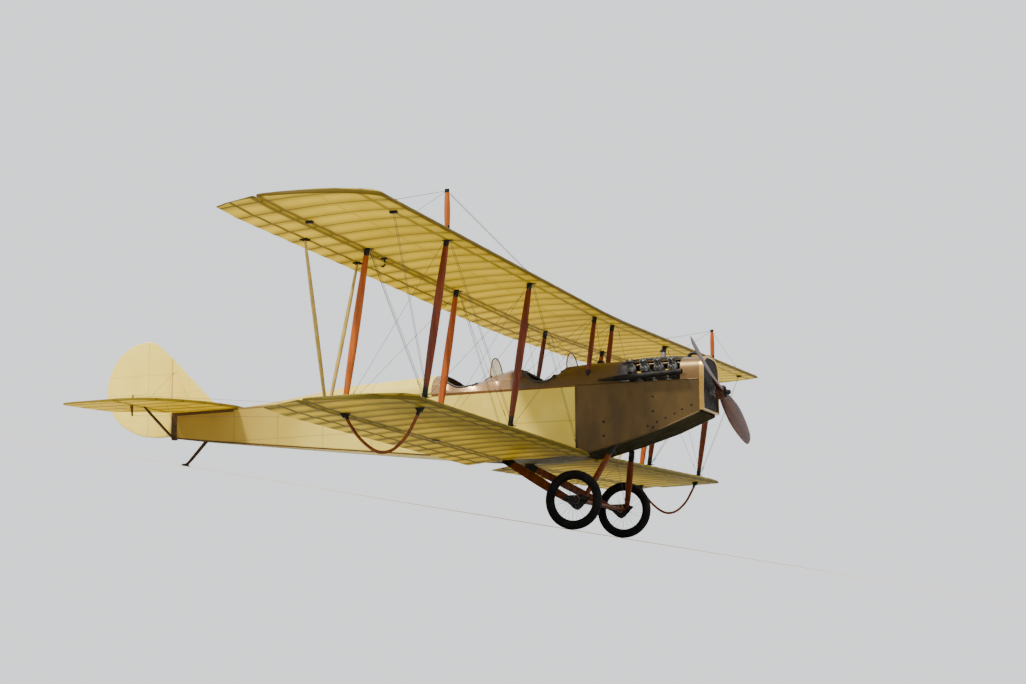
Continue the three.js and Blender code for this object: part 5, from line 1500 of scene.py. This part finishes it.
def on_each_cylinder(build):
    """A mesh with the same part built at the place of every cylinder."""
    whole = bmesh.new()
    for x in CYLINDERS:
        for side in SIDES.values():
            part = bmesh.new()
            build(part)
            lifted(part, cylinder_place(x, side))
            scrap = bpy.data.meshes.new("scrap")
            part.to_mesh(scrap)
            part.free()
            whole.from_mesh(scrap)
            bpy.data.meshes.remove(scrap)
    return whole


def cylinder_body(bm):
    """Barrel, flange, jacket and head."""
    turned(bm, [
        (0.004, 0.150), (0.062, 0.150), (0.062, 0.160), (0.049, 0.163), (0.049, 0.225), (0.055, 0.235),
        (0.0562, 0.250), (0.0562, 0.395), (0.0585, 0.402), (0.0585, 0.412), (0.054, 0.418), (0.050, 0.436),
        (0.040, 0.447), (0.004, 0.450),
    ], (0, 0, 0), "Z", 32)
    for sense in (1, -1):
        rod(bm, (sense * 0.022, 0, 0.430), (sense * 0.022, 0, 0.456), 0.014, 16)
    rod(bm, (0, 0.030, 0.400), (0, 0.064, 0.400), 0.017, 16)
    rod(bm, (0, 0.058, 0.400), (0, 0.0645, 0.400), 0.026, 6)
    rod(bm, (0, -0.030, 0.395), (0, -0.070, 0.395), 0.014, 16)
    rod(bm, (0, 0, 0.300), (0, -0.072, 0.300), 0.012, 12)


def cylinder_gear(bm):
    """Valve springs, rockers on their bracket, push rods and plug."""
    for sense in (1, -1):
        x = sense * 0.026
        coil = [Vector((x + 0.0135 * math.cos(a), 0.0135 * math.sin(a), 0.452 + 0.0023 * a))
                for a in [math.tau * k / 10 for k in range(37)]]
        tube(bm, coil, 0.0026, 6)
        rod(bm, (x, 0, 0.450), (x, 0, 0.518), 0.0045, 8)
        rod(bm, (x, 0, 0.506), (x, 0, 0.513), 0.0170, 16)
        streamlined(bm, (x, 0.014, 0.522), (x, -0.060, 0.510), 0.020, 0.014, 0.7, 4)
        rod(bm, (x, -0.056, 0.512), (x * 1.5, -0.064, 0.170), 0.0048, 8)
        rod(bm, (x * 1.25, 0.050, 0.430), (-x * 0.9, 0.030, 0.515), 0.0058, 8)
    block(bm, (0, -0.026, 0.494), (0.078, 0.022, 0.020))
    block(bm, (0, -0.026, 0.468), (0.026, 0.020, 0.050))
    rod(bm, (0, 0.046, 0.425), (0, 0.074, 0.454), 0.0085, 6)
    rod(bm, (0, 0.072, 0.452), (0, 0.090, 0.470), 0.0045, 8)


as_piece(on_each_cylinder(cylinder_body), "engine_cylinders", cast_grey,
         ["engine"], sharp=math.radians(40))
as_piece(on_each_cylinder(cylinder_gear), "engine_valve_gear", dull_steel)

bm = bmesh.new()
CRANKCASE = [
    (-0.150, 1.075), (0.150, 1.075), (0.165, 1.221), (0.190, 1.330), (0.120, 1.400), (-0.120, 1.400),
    (-0.190, 1.330), (-0.165, 1.221),
]
skin(bm, [[Vector((x, y, z)) for y, z in CRANKCASE] for x in (0.360, 1.180)])
bmesh.ops.bevel(bm, geom=bm.edges[:], offset=0.012, affect="EDGES", segments=3, profile=0.5, material=-1)
rod(bm, (1.170, 0, CRANK_Z), (PROPELLER_X - 0.054, 0, CRANK_Z), 0.034, 32)
rod(bm, (PROPELLER_X - 0.066, 0, CRANK_Z), (PROPELLER_X - 0.0545, 0, CRANK_Z), 0.062, 32)
for x in (0.420, 1.060):
    reach = look_up(BREADTH, x) - 0.0135
    block(bm, (x, 0, 1.1725), (0.050, 2 * reach, 0.045))
as_piece(bm, "engine_crankcase", cast_grey)

bm = bmesh.new()
main_pipe = curved([
    (0.44, 0, 1.600), (0.58, 0, 1.606), (0.75, 0, 1.608), (0.92, 0, 1.606), (1.06, 0, 1.600),
], 5)
for side in SIDES.values():
    tube(bm, [Vector((p.x, side * 0.085, p.z - 0.03)) for p in main_pipe], 0.017, 14)
    for x in CYLINDERS:
        head = cylinder_place(x, side) @ Vector((0, -0.068, 0.395))
        rise = head + Vector((0, -side * 0.030, 0.015))
        tube(bm, curved([head, rise, (x, side * 0.100, 1.566)], 4), 0.013, 12)
as_piece(bm, "engine_manifold", bronze_lacquer)
bm = bmesh.new()
tube(bm, curved([(0.43, 0, 1.630), (0.60, 0, 1.642), (0.90, 0, 1.642), (1.08, 0, 1.625)], 4), 0.030, 16)
tube(bm, curved([(0.42, 0, 1.560), (0.75, 0, 1.572), (1.09, 0, 1.560)], 4), 0.042, 16)
for x in CYLINDERS:
    rod(bm, (x, -0.085, 1.588), (x, 0.085, 1.588), 0.016, 12)
    rod(bm, (x + 0.050, 0, 1.400), (x + 0.050, 0, 1.640), 0.018, 12)
as_piece(bm, "engine_intake", black_steel)

bm = bmesh.new()
rod(bm, (0.790, 0, 1.585), (0.790, 0, 1.728), 0.020, 20)
tube(bm, curved([
    (0.60, 0, 1.575), (0.70, 0, 1.590), (0.79, 0, 1.592), (0.90, 0, 1.590), (1.05, 0, 1.585),
], 4), 0.013, 12)
as_piece(bm, "filler_column", bright_steel)
bm = bmesh.new()
rod(bm, (0.790, 0, 1.724), (0.790, 0, 1.752), 0.032, 24, 0.028)
rod(bm, (0.040, 0, 1.640), (0.040, 0, 1.660), 0.042, 24)
rod(bm, (0.040, 0, 1.660), (0.040, 0, 1.672), 0.030, 6)
tube(bm, curved([
    (1.095, 0, 1.600), (1.110, 0, 1.672), (1.160, 0, 1.690), (1.215, 0, 1.675), (1.240, 0, 1.632),
], 5), 0.019, 14)
for x, z in ((1.108, 1.655), (1.238, 1.645)):
    rod(bm, (x, 0, z - 0.008), (x, 0, z + 0.008), 0.0225, 16)
as_piece(bm, "black_caps_and_hose", black_steel)

EXHAUST_Y = 0.392
# The pipe's size: x, radius. Its middle line: x, height.
PIPE_SIZE = [
    (1.137, 0.022), (1.132, 0.030), (1.10, 0.0315), (0.80, 0.032), (0.44, 0.033), (0.38, 0.032),
    (0.28, 0.024), (0.20, 0.0155), (0.14, 0.012),
]
PIPE_LINE = [(0.140, 1.388), (0.440, 1.402), (1.135, 1.433)]
for side_name, side in SIDES.items():
    bm = bmesh.new()
    skin(bm, [
        circle_at((x, side * EXHAUST_Y, look_up(PIPE_LINE, x)), (-1, 0, 0), radius, 24)
        for x, radius in PIPE_SIZE
    ])
    for x in CYLINDERS:
        place = cylinder_place(x, side)
        start = place @ Vector((0, 0.0665, 0.400))
        turn = place @ Vector((0, 0.092, 0.400))
        end = Vector((x, side * (EXHAUST_Y - 0.004), look_up(PIPE_LINE, x) + 0.014))
        tube(bm, curved([start, turn, end], 5), 0.0185, 14)
        rod(bm, start, start.lerp(turn, 0.25), 0.028, 6)
    pipe = f"exhaust_{side_name}"
    as_piece(bm, f"{pipe}_iron", scaled_iron, [pipe])
print("engine of", 2 * len(CYLINDERS), "cylinders")

# %% [markdown]
# Each cockpit is a curved opening cut through the decking, and its edge wears a padded roll of leather.
# The roll is a tube along the cut edge. A lining of dark leather covers the boards inside it, as painted
# shade in the cockpit.
# %% Cockpit rims
# One side of each cockpit's edge, from front to back: x, height.
COCKPITS = {
    "front": [(-0.412, 1.700), (-0.415, 1.560), (-0.428, 1.490), (-0.453, 1.440), (-0.500, 1.415),
              (-0.563, 1.406), (-0.672, 1.423), (-0.793, 1.505), (-0.885, 1.572), (-0.910, 1.700)],
    "rear": [(-1.375, 1.700), (-1.378, 1.560), (-1.392, 1.475), (-1.425, 1.432), (-1.510, 1.411),
             (-1.624, 1.404), (-1.710, 1.437), (-1.800, 1.490), (-1.880, 1.570), (-1.925, 1.700)],
}
PAD_RADIUS = 0.013
ROLL_RADIUS = {"front": 0.018, "rear": 0.0135}
DECK_WALL = 0.012
SIDE_WALL = 0.018


def deck_across(x, z):
    """Half width of the decking's middle surface at a height."""
    share = min(1, max(0, (z - LONGERON_Z) / (look_up(DECKING, x) - DECK_WALL / 2)))
    return (1 - share ** ARCH_POWER) ** (1 / ARCH_POWER) * (look_up(BREADTH, x) - DECK_WALL / 2)


def rim_line(table):
    """One side of a cockpit's padded edge, from front to back."""
    line = curved([(x, z, 0) for x, z in table], 7)
    kept = []
    for i, point in enumerate(line):
        run = (line[min(i + 1, len(line) - 1)] - line[max(i - 1, 0)]).normalized()
        out = Vector((run.y, -run.x, 0))
        out = -out if out.y < 0 else out
        moved = point + out * (PAD_RADIUS + 0.0005)
        if moved.y < LONGERON_Z + look_up(DECKING, moved.x) - DECK_WALL / 2 - 0.018:
            kept.append(Vector((moved.x, deck_across(moved.x, moved.y), moved.y)))
    return kept


def lining_wall(point, side, inset):
    """One face of the lining at a point of the rim, from low in the cockpit up to the rim."""
    foot = look_up(BELLY, point.x) + 0.060
    boards = look_up(BREADTH, point.x) - SIDE_WALL
    wall = [Vector((point.x, side * (boards - inset), z)) for z in (foot, (foot + LONGERON_Z) / 2)]
    for k in range(7):
        z = LONGERON_Z - 0.004 + (point.z - 0.002 - LONGERON_Z) * k / 6
        inner = min(boards, deck_across(point.x, z) - DECK_WALL / 2)
        wall.append(Vector((point.x, side * (inner - inset), z)))
    return wall


for name, table in COCKPITS.items():
    line = rim_line(table)
    other = [Vector((p.x, -p.y, p.z)) for p in reversed(line)]
    crest_back = [(line[-1] + other[0]) / 2 + Vector((0, 0, 0.004))]
    crest_front = [(other[-1] + line[0]) / 2 - Vector((0, 0, 0.006))]
    path = curved(line[::3] + crest_back + other[::3] + crest_front, 5, closed=True)
    radii = [ROLL_RADIUS[name] * (1 + 0.05 * math.sin(i * 1.7)) for i in range(len(path))]
    bm = bmesh.new()
    looped_tube(bm, path, radii, 12)
    roll = as_piece(bm, f"{name}_coaming_leather", leather, [f"{name}_coaming"])
    for side_name, side in SIDES.items():
        # The dark linings are painted shade inside the cockpit.
        bm = bmesh.new()
        skin(bm, [lining_wall(p, side, 0.002) + lining_wall(p, side, 0.006)[::-1] for p in line[::2]])
        as_piece(bm, f"{name}_lining_{side_name}", leather)
print("coamings rolled and linings fitted")

# %% [markdown]
# A windscreen is a pane of clear sheet in a bent tube that leans back a little. A pane with a straight foot
# would cut through the arched decking or float over it, so its lower edge follows the decking's top. Behind
# it, two padded rolls run along the scoop to the cockpit's edge.
# %% Windscreens
SCREENS = {"front": -0.308, "rear": -1.262}
SCREEN_HALF_WIDTH = 0.195
SCREEN_TOP = 1.782
SCREEN_RAKE = 0.015
SCREEN_SUNK = 0.060
# The frame's arch, as shares of its height and of its half width.
SCREEN_ARCH = [
    (0, 1), (0.35, 0.98), (0.7, 0.75), (0.93, 0.4), (1, 0), (0.93, -0.4), (0.7, -0.75), (0.35, -0.98),
    (0, -1),
]
arch_line = curved([(up, across, 0) for up, across in SCREEN_ARCH], 5)


def screen_base(x):
    """Height of a screen's foot, which is sunk in the decking."""
    return LONGERON_Z + look_up(DECKING, x) - SCREEN_SUNK


def on_screen(x, up, across, lift=0.0):
    """A point of the raked pane, from its shares of the height and of the half width."""
    rise = SCREEN_TOP - screen_base(x)
    lean = Vector((rise, 0, SCREEN_RAKE)).normalized()
    place = Vector((x - SCREEN_RAKE * up, across * SCREEN_HALF_WIDTH, screen_base(x) + rise * up))
    return place + lean * lift


def over_deck(x, across):
    """How far up the pane the decking's top is."""
    over = deck_height(x, across * SCREEN_HALF_WIDTH) + 0.001 - screen_base(x)
    return over / (SCREEN_TOP - screen_base(x))


for name, x in SCREENS.items():
    bm = bmesh.new()
    tube(bm, [on_screen(x, p.x, p.y) for p in arch_line], 0.0078, 12)
    as_piece(bm, f"{name}_windscreen_frame", aged_brass, [f"{name}_windscreen"])

    shares = [-0.96 + 1.92 * i / 12 for i in range(13)]
    foot = [(over_deck(x, across), across) for across in shares]
    seen_arch = [p for p in arch_line if p.x > over_deck(x, min(0.96, abs(p.y))) + 0.05]
    outline = [(p.x * 0.995, p.y * 0.985) for p in seen_arch] + foot
    bm = bmesh.new()
    skin(bm, [[on_screen(x, up, across, lift) for up, across in outline] for lift in (-0.001, 0.001)])
    as_piece(bm, f"{name}_windscreen_pane", clear_sheet)

    back = COCKPITS[name][0][0] + 0.006
    bm = bmesh.new()
    for side in SIDES.values():
        plan = [(x - 0.004 + (back - x) * i / 8, side * (0.150 - 0.0025 * i)) for i in range(9)]
        tube(bm, [(px, py, deck_height(px, py) + 0.004) for px, py in plan], ROLL_RADIUS[name] * 0.7, 10)
    as_piece(bm, f"{name}_scoop_padding", leather)
print("windscreens glazed")

# %% [markdown]
# Inside, each seat has a flat padded cushion and a back pad, and each board has a few round dials. A
# cushion is a block cut fine and crowned: it swells at its middle and pulls in along its sides.
# %% Cockpit fittings
def cushion(name, place, size):
    """A crowned pad with pulled-in sides, set at a place."""
    bm = bmesh.new()
    bmesh.ops.create_cube(bm, size=1)
    bmesh.ops.subdivide_edges(bm, edges=bm.edges, cuts=11, use_grid_fill=True)
    length, breadth, depth = size
    for vert in bm.verts:
        u, v, w = (2 * c for c in vert.co)
        swell = (1 - u ** 4) * (1 - v ** 4)
        pull = 0.025 * (1 - w * w)
        bow = 1 - 0.03 * (1 - max(abs(u), abs(v)) ** 2)
        thick = 0.55 + 0.45 * swell ** 0.5 if swell > 0 else 0.55
        ripple = 1 + 0.06 * math.sin(9 * u + 4 * v)
        vert.co = Vector((
            u * length / 2 * (1 + pull) * bow * (1 - 0.05 * v * v),
            v * breadth / 2 * (1 + pull) * (1 - 0.05 * u * u),
            w * depth / 2 * thick * ripple,
        ))
    bmesh.ops.smooth_vert(bm, verts=bm.verts, factor=0.5, use_axis_x=True, use_axis_y=True, use_axis_z=True)
    lifted(bm, place)
    piece = as_piece(bm, name, seat_leather, sharp=math.radians(180))


# The x of each seat's back and the height of its pan, and the x of each board.
SEATS = {"front": (-0.915, 0.830), "rear": (-1.850, 0.850)}
BOARDS = {"front": -0.2165, "rear": -1.2025}
for name, (back_x, pan_z) in SEATS.items():
    flat = Matrix.Translation((back_x + 0.205, 0, pan_z + 0.060))
    cushion(f"{name}_seat_cushion", flat, (0.330, 0.345, 0.066))
    upright = Matrix.Translation((back_x + 0.043, 0, pan_z + 0.255)) @ Matrix.Rotation(math.pi / 2, 4, "Y")
    cushion(f"{name}_back_cushion", upright, (0.300, 0.345, 0.042))


def dial_face():
    """Pale enamel for the faces of the dials, whose marks and needles are thin rods over it."""
    made, tree, level = blank("enamel dial")
    cloud = speckle(tree, level, 40.0)
    colour = blended(tree, between(tree, cloud, 0.4, 0.7), linear("E9E4D4"), linear("D5CCB4"))
    finished(tree, principled(tree, {"Base Color": colour, "Roughness": 0.3, "Coat Weight": 0.6}))
    return made


dial_enamel = dial_face()
# Each dial: y, height, radius.
DIALS = [(-0.150, 1.455, 0.036), (-0.052, 1.500, 0.044), (0.056, 1.500, 0.038), (0.148, 1.455, 0.036),
         (0.000, 1.405, 0.026)]
for name, x in BOARDS.items():
    bm = bmesh.new()
    faces = bmesh.new()
    for y, z, radius in DIALS:
        turned(bm, [(radius - 0.005, 0), (radius, 0), (radius, -0.012), (radius - 0.003, -0.016),
                    (radius - 0.005, -0.014)], (x, y, z), "X", 36)
        rod(faces, (x + 0.001, y, z), (x - 0.006, y, z), radius - 0.0045, 36)
        for a in evenly_round(12):
            out = Vector((0, math.cos(a), math.sin(a)))
            middle = Vector((x - 0.0065, y, z)) + out * radius * 0.70
            rod(bm, middle - out * radius * 0.07, middle + out * radius * 0.07, 0.0007, 4)
        needle = Vector((0, math.cos(radius * 70), math.sin(radius * 70)))
        start = Vector((x - 0.0075, y, z))
        rod(bm, start - needle * radius * 0.12, start + needle * radius * 0.60, 0.0009, 4)
        ball(bm, start, 0.003, (0.5, 1, 1), 8)
    as_piece(bm, f"{name}_dial_rims", black_steel)
    as_piece(faces, f"{name}_dial_faces", dial_enamel)
print("dials:", 2 * len(DIALS))

# %% [markdown]
# The rigging is what holds a biplane in shape. Lift wires rise outward from the lower wing's root, and are
# doubled; landing wires fall outward from the centre section. King posts hold up the long overhang. A wire
# in tension is straight, so each is a thin rod, with a turnbuckle near one end.
# %% Rigging
# Where wires meet the wings: distance behind the leading edge, height on the lower, height under the upper.
FITTINGS = {"front": (FRONT_SPAR - 0.0305, 0.102, -0.009), "rear": (REAR_SPAR - 0.0305, 0.082, 0.004)}
OVERHANG = 5.780
POST_TOP = 2.700


def on_lower(which, y):
    """A wire's fitting on the lower wing."""
    behind, height, _ = FITTINGS[which]
    return wing_point(LOWER, y, behind, height)


def under_upper(which, y):
    """A wire's fitting under the upper wing."""
    behind, _, height = FITTINGS[which]
    return wing_point(UPPER, y, behind, height)


for side_name, side in SIDES.items():
    inner, outer, overhang = [side * y for y in (INNER_STRUT, OUTER_STRUT, OVERHANG)]
    for which in FITTINGS:
        bm = bmesh.new()
        wire(bm, on_lower(which, side * 0.375), under_upper(which, inner), 0.016)
        wire(bm, under_upper(which, side * 0.402), on_lower(which, inner))
        wire(bm, on_lower(which, inner), under_upper(which, outer), 0.016)
        wire(bm, under_upper(which, inner), on_lower(which, outer))
        if which == "front":
            wire(bm, on_lower(which, outer), under_upper(which, overhang), 0.014)
        replaced = [f"main_stays_{side_name}"] if which == "front" else []
        as_piece(bm, f"{which}_stays_{side_name}", wire_steel, replaced)
    bm = bmesh.new()
    post = Vector((strut_ends(outer, "front")[1].x, outer, POST_TOP))
    wire(bm, wing_point(UPPER, inner, FRONT_SPAR, 0.100), post, 0.012)
    wire(bm, wing_point(UPPER, overhang, FRONT_SPAR, 0.096), post)
    wire(bm, wing_point(UPPER, outer, REAR_SPAR, 0.060), post)
    as_piece(bm, f"king_post_wires_{side_name}", wire_steel)
print("rigged")

# %% [markdown]
# Each strut end sits in a pressed steel shoe, over a plate whose lug holds the wires. A plain block would
# be simpler, but a shoe wraps its strut closely, so it is a skin over the same streamlined ring, a little
# larger. Shallow steel bosses show under the lower wing, and a small hook hangs under each upper wing.
# %% Strut sockets and lugs
SHOE_SIZE = 1.12
KEEPER_Y = 4.150
KEEPER_HOOK = [(0, -0.014), (0.012, -0.040), (0.010, -0.070), (-0.008, -0.088), (-0.028, -0.084)]


def socket(bm, end, other, length, breadth, thickness):
    """A thin steel shoe round a strut's end."""
    along = (other - end).normalized() * length
    rows = ((0, 1), (0.85, 1), (1.0, 0.9))
    streamlined_skin(bm, end, along, rows, breadth * SHOE_SIZE, thickness * SHOE_SIZE)


for side_name, side in SIDES.items():
    bm = bmesh.new()
    for y in (side * INNER_STRUT, side * OUTER_STRUT):
        for which, spar in SPARS.items():
            foot, head = strut_ends(y, which)
            socket(bm, foot, head, 0.125, 0.052, 0.028)
            socket(bm, head, foot, 0.094, 0.052, 0.028)
            _, low_height, high_height = FITTINGS[which]
            for wing, height in ((LOWER, low_height - 0.004), (UPPER, high_height + 0.004)):
                plate_at = wing_point(wing, y, spar - 0.010, height)
                block(bm, plate_at, (0.110, 0.046, 0.005))
                lug = [plate_at + Vector((0.026, aside, 0)) for aside in (-0.020, 0.020)]
                rod(bm, *lug, 0.006, 8)
            under = wing_point(LOWER, y, spar, 0.016 if which == "front" else 0.017)
            ball(bm, under, 0.040, (1.25, 0.6, 0.16), 16)
    for behind, _, height in FITTINGS.values():
        block(bm, wing_point(UPPER, side * OVERHANG, behind, height - 0.008), (0.070, 0.040, 0.024))
    post_foot = wing_point(UPPER, side * OUTER_STRUT, FRONT_SPAR, 0.095)
    socket(bm, post_foot, post_foot + Vector((0, 0, 0.4)), 0.070, 0.046, 0.033)
    post_head = Vector((strut_ends(side * OUTER_STRUT, "front")[1].x, side * OUTER_STRUT, 2.718))
    socket(bm, post_head, post_head - Vector((0, 0, 0.4)), 0.038, 0.044, 0.030)
    for top_x, top_z, foot_x, breadth, thickness in GEAR:
        top = Vector((top_x, side * GEAR_TOP_Y, top_z))
        foot = Vector((foot_x, side * GEAR_FOOT_Y, 0))
        socket(bm, top, foot, 0.150, breadth * 0.80, thickness * 0.80)
    for i in range(len(CABANE)):
        foot, head = cabane_ends[i, side]
        socket(bm, foot.lerp(head, 0.055), head, 0.075, 0.050, 0.026)
        socket(bm, head, foot, 0.095, 0.050, 0.026)
    keeper = wing_point(UPPER, side * KEEPER_Y, REAR_SPAR, 0.004)
    block(bm, keeper - Vector((0, 0, 0.008)), (0.060, 0.030, 0.020))
    tube(bm, [keeper + Vector((x, 0, z)) for x, z in KEEPER_HOOK], 0.009, 10)
    as_piece(bm, f"strut_sockets_{side_name}", black_steel)
print("sockets shod")

# %% [markdown]
# Control cables run outside the fuselage to the elevators, two to each horn, and wires brace the fin and
# the tailplane. The cables end beside the horns at rest, and stay there when an elevator turns. Strips
# are carried along the fuselage's lines: brown wood under the cockpits and at the stern, and along the
# bottom of the rear fuselage a dark strip of painted shade on the rounded lower edge. Under the tailplane
# a strip stands for the upper longeron with the tailplane's painted shadow on it.
# shows along the bottom of the tail and under the cockpits, as strips carried along the fuselage's lines.
# %% Control cables, and strips of wood and painted shade
CABLE_START_X = -2.45
STRIP_STEPS = 36
# Plan of the stern's casing: x, y.
STERN_CASING = [(-5.694, -0.031), (-5.694, 0.031), (-5.610, 0.0365), (-5.610, -0.0365)]
for side_name, side in SIDES.items():
    bm = bmesh.new()
    for up, horn_end in ((0.06, 0.108), (-0.06, -0.142)):
        start = Vector((CABLE_START_X, side * (look_up(BREADTH, CABLE_START_X) + 0.006), 1.16 + up))
        end = Vector((TAIL_HINGE_X - 0.006, side * 0.872, TAILPLANE_Z + horn_end))
        wire(bm, start, end, radius=CABLE)
    as_piece(bm, f"elevator_cables_{side_name}", wire_steel)
bm = bmesh.new()
for side in SIDES.values():
    wire(bm, (-5.630, side * 0.020, 1.905), (-5.55, side * 0.86, TAILPLANE_Z + 0.020), radius=CABLE)
    wire(bm, (-5.610, side * 0.028, 1.045), (-5.30, side * 0.78, TAILPLANE_Z - 0.020), radius=CABLE)
as_piece(bm, "tail_wires", wire_steel)


def strip_section(x, side, height, inner, outer, lower, upper):
    """A flat strip's section on the fuselage's side, from its two faces and its two edges."""
    half = look_up(BREADTH, x)
    corners = ((inner, lower), (outer, lower), (outer, upper), (inner, upper))
    return [Vector((x, side * (half + out), height + up)) for out, up in corners]


bm = bmesh.new()
strip_run = -5.684 - COCKPIT_END_X
strip_x = [COCKPIT_END_X - 0.006 + strip_run * i / STRIP_STEPS for i in range(STRIP_STEPS + 1)]
tail_end_x = [x for x in strip_x if x <= -4.74]
for side in SIDES.values():
    # Along the bottom: a dark strip of painted shade on the rounded lower edge.
    skin(bm, [strip_section(x, side, look_up(BELLY, x), -0.004, 0.0015, -0.0015, 0.016) for x in strip_x])
    # Under the tailplane: the upper longeron with the tailplane's painted shadow on it.
    skin(bm, [strip_section(x, side, LONGERON_Z, -0.004, 0.0015, -0.036, -0.003) for x in tail_end_x])
skin(bm, [[Vector((x, y, z)) for x, y in STERN_CASING] for z in (1.034, 1.15, 1.25, 1.354)])
as_piece(bm, "tail_longeron_and_shade_strips", shade_and_stained_wood)
bm = bmesh.new()
cockpit_rows = ((FIREWALL_X - 0.004, -0.018), (-0.960, -0.026), (COCKPIT_END_X + 0.002, -0.034))
for side in SIDES.values():
    skin(bm, [
        strip_section(x, side, LONGERON_Z, -0.003, 0.0018, lower, -0.002) for x, lower in cockpit_rows
    ])
as_piece(bm, "cockpit_longeron_strips", longeron_wood)
print("tail rigged")

# %% [markdown]
# The floor is a large disc whose far part fades to the world's colour, so no horizon shows. The light is a
# high soft sun, a little behind the aeroplane, and a pale sky: the upper wing's shadow falls on the side of
# the fuselage between the cockpits and the nose. The camera stands at floor level, with the photograph's
# lens.
# %% Floor, light and camera
SKY = "E9EBEE"
SKY_STRENGTH = 1.6
FLOOR = ("BCBBB7", "B6B5B1")
FLOOR_RADIUS = 400
FADE = (7.5, 15.0)
SUN_STRENGTH = 6.6
SUN_FROM = Vector((-0.652, -0.50, 0.896))


def floor_material():
    """A pale matt floor that fades to the sky's colour far from its middle."""
    made, tree, place = bare("pale floor")
    away = node(tree, "ShaderNodeVectorMath", {"operation": "LENGTH"}, {0: place}).outputs["Value"]
    grain = speckle(tree, place, 3.0)
    colour = blended(tree, between(tree, grain, 0.3, 0.7), linear(FLOOR[0]), linear(FLOOR[1]))
    matt = principled(tree, {"Base Color": colour, "Roughness": 0.9})
    glow = {"Color": linear(SKY), "Strength": SKY_STRENGTH}
    sky = node(tree, "ShaderNodeEmission", None, glow).outputs[0]
    mixed = {0: between(tree, away, *FADE), 1: matt, 2: sky}
    finished(tree, node(tree, "ShaderNodeMixShader", None, mixed).outputs[0])
    return made


bm = bmesh.new()
bmesh.ops.create_circle(bm, cap_ends=True, segments=96, radius=FLOOR_RADIUS)
mesh = bpy.data.meshes.new("floor")
bm.to_mesh(mesh)
bm.free()
mesh.materials.append(floor_material())
floor = in_scene("floor", mesh)

world = bpy.data.worlds.new("pale sky")
bpy.context.scene.world = world
world.use_nodes = True
background = world.node_tree.nodes["Background"].inputs
background["Color"].default_value = linear(SKY)
background["Strength"].default_value = SKY_STRENGTH

sun_data = bpy.data.lights.new("sun", "SUN")
sun_data.energy = SUN_STRENGTH
sun_data.angle = math.radians(8)
sun_data.color = (1.0, 0.955, 0.88)
sun = in_scene("sun", sun_data)
sun.rotation_euler = SUN_FROM.to_track_quat("Z", "Y").to_euler()

# The photograph's camera in the parked frame.
CAMERA_AT = Vector((10.462, -21.433, -0.294))
CAMERA_RIGHT = Vector((0.915, 0.370, 0.161))
CAMERA_DOWN = Vector((0.110, 0.155, -0.982))
CAMERA_FORWARD = Vector((-0.389, 0.916, 0.101))
EYE_HEIGHT = 0.02
LENS = 69.345
seen = Matrix((CAMERA_RIGHT, -CAMERA_DOWN, -CAMERA_FORWARD)).transposed()
target = Vector((1.2, 0, 1.4))
raised = Vector((CAMERA_AT.x, CAMERA_AT.y, EYE_HEIGHT))
turn = (target - CAMERA_AT).rotation_difference(target - raised).to_matrix()
camera_data = bpy.data.cameras.new("camera")
camera_data.lens = LENS
camera_data.clip_end = 2000
camera = in_scene("camera", camera_data)
camera.matrix_world = Matrix.Translation(raised) @ (turn @ seen).to_4x4()
bpy.context.scene.camera = camera
print("camera at", [round(c, 2) for c in raised])
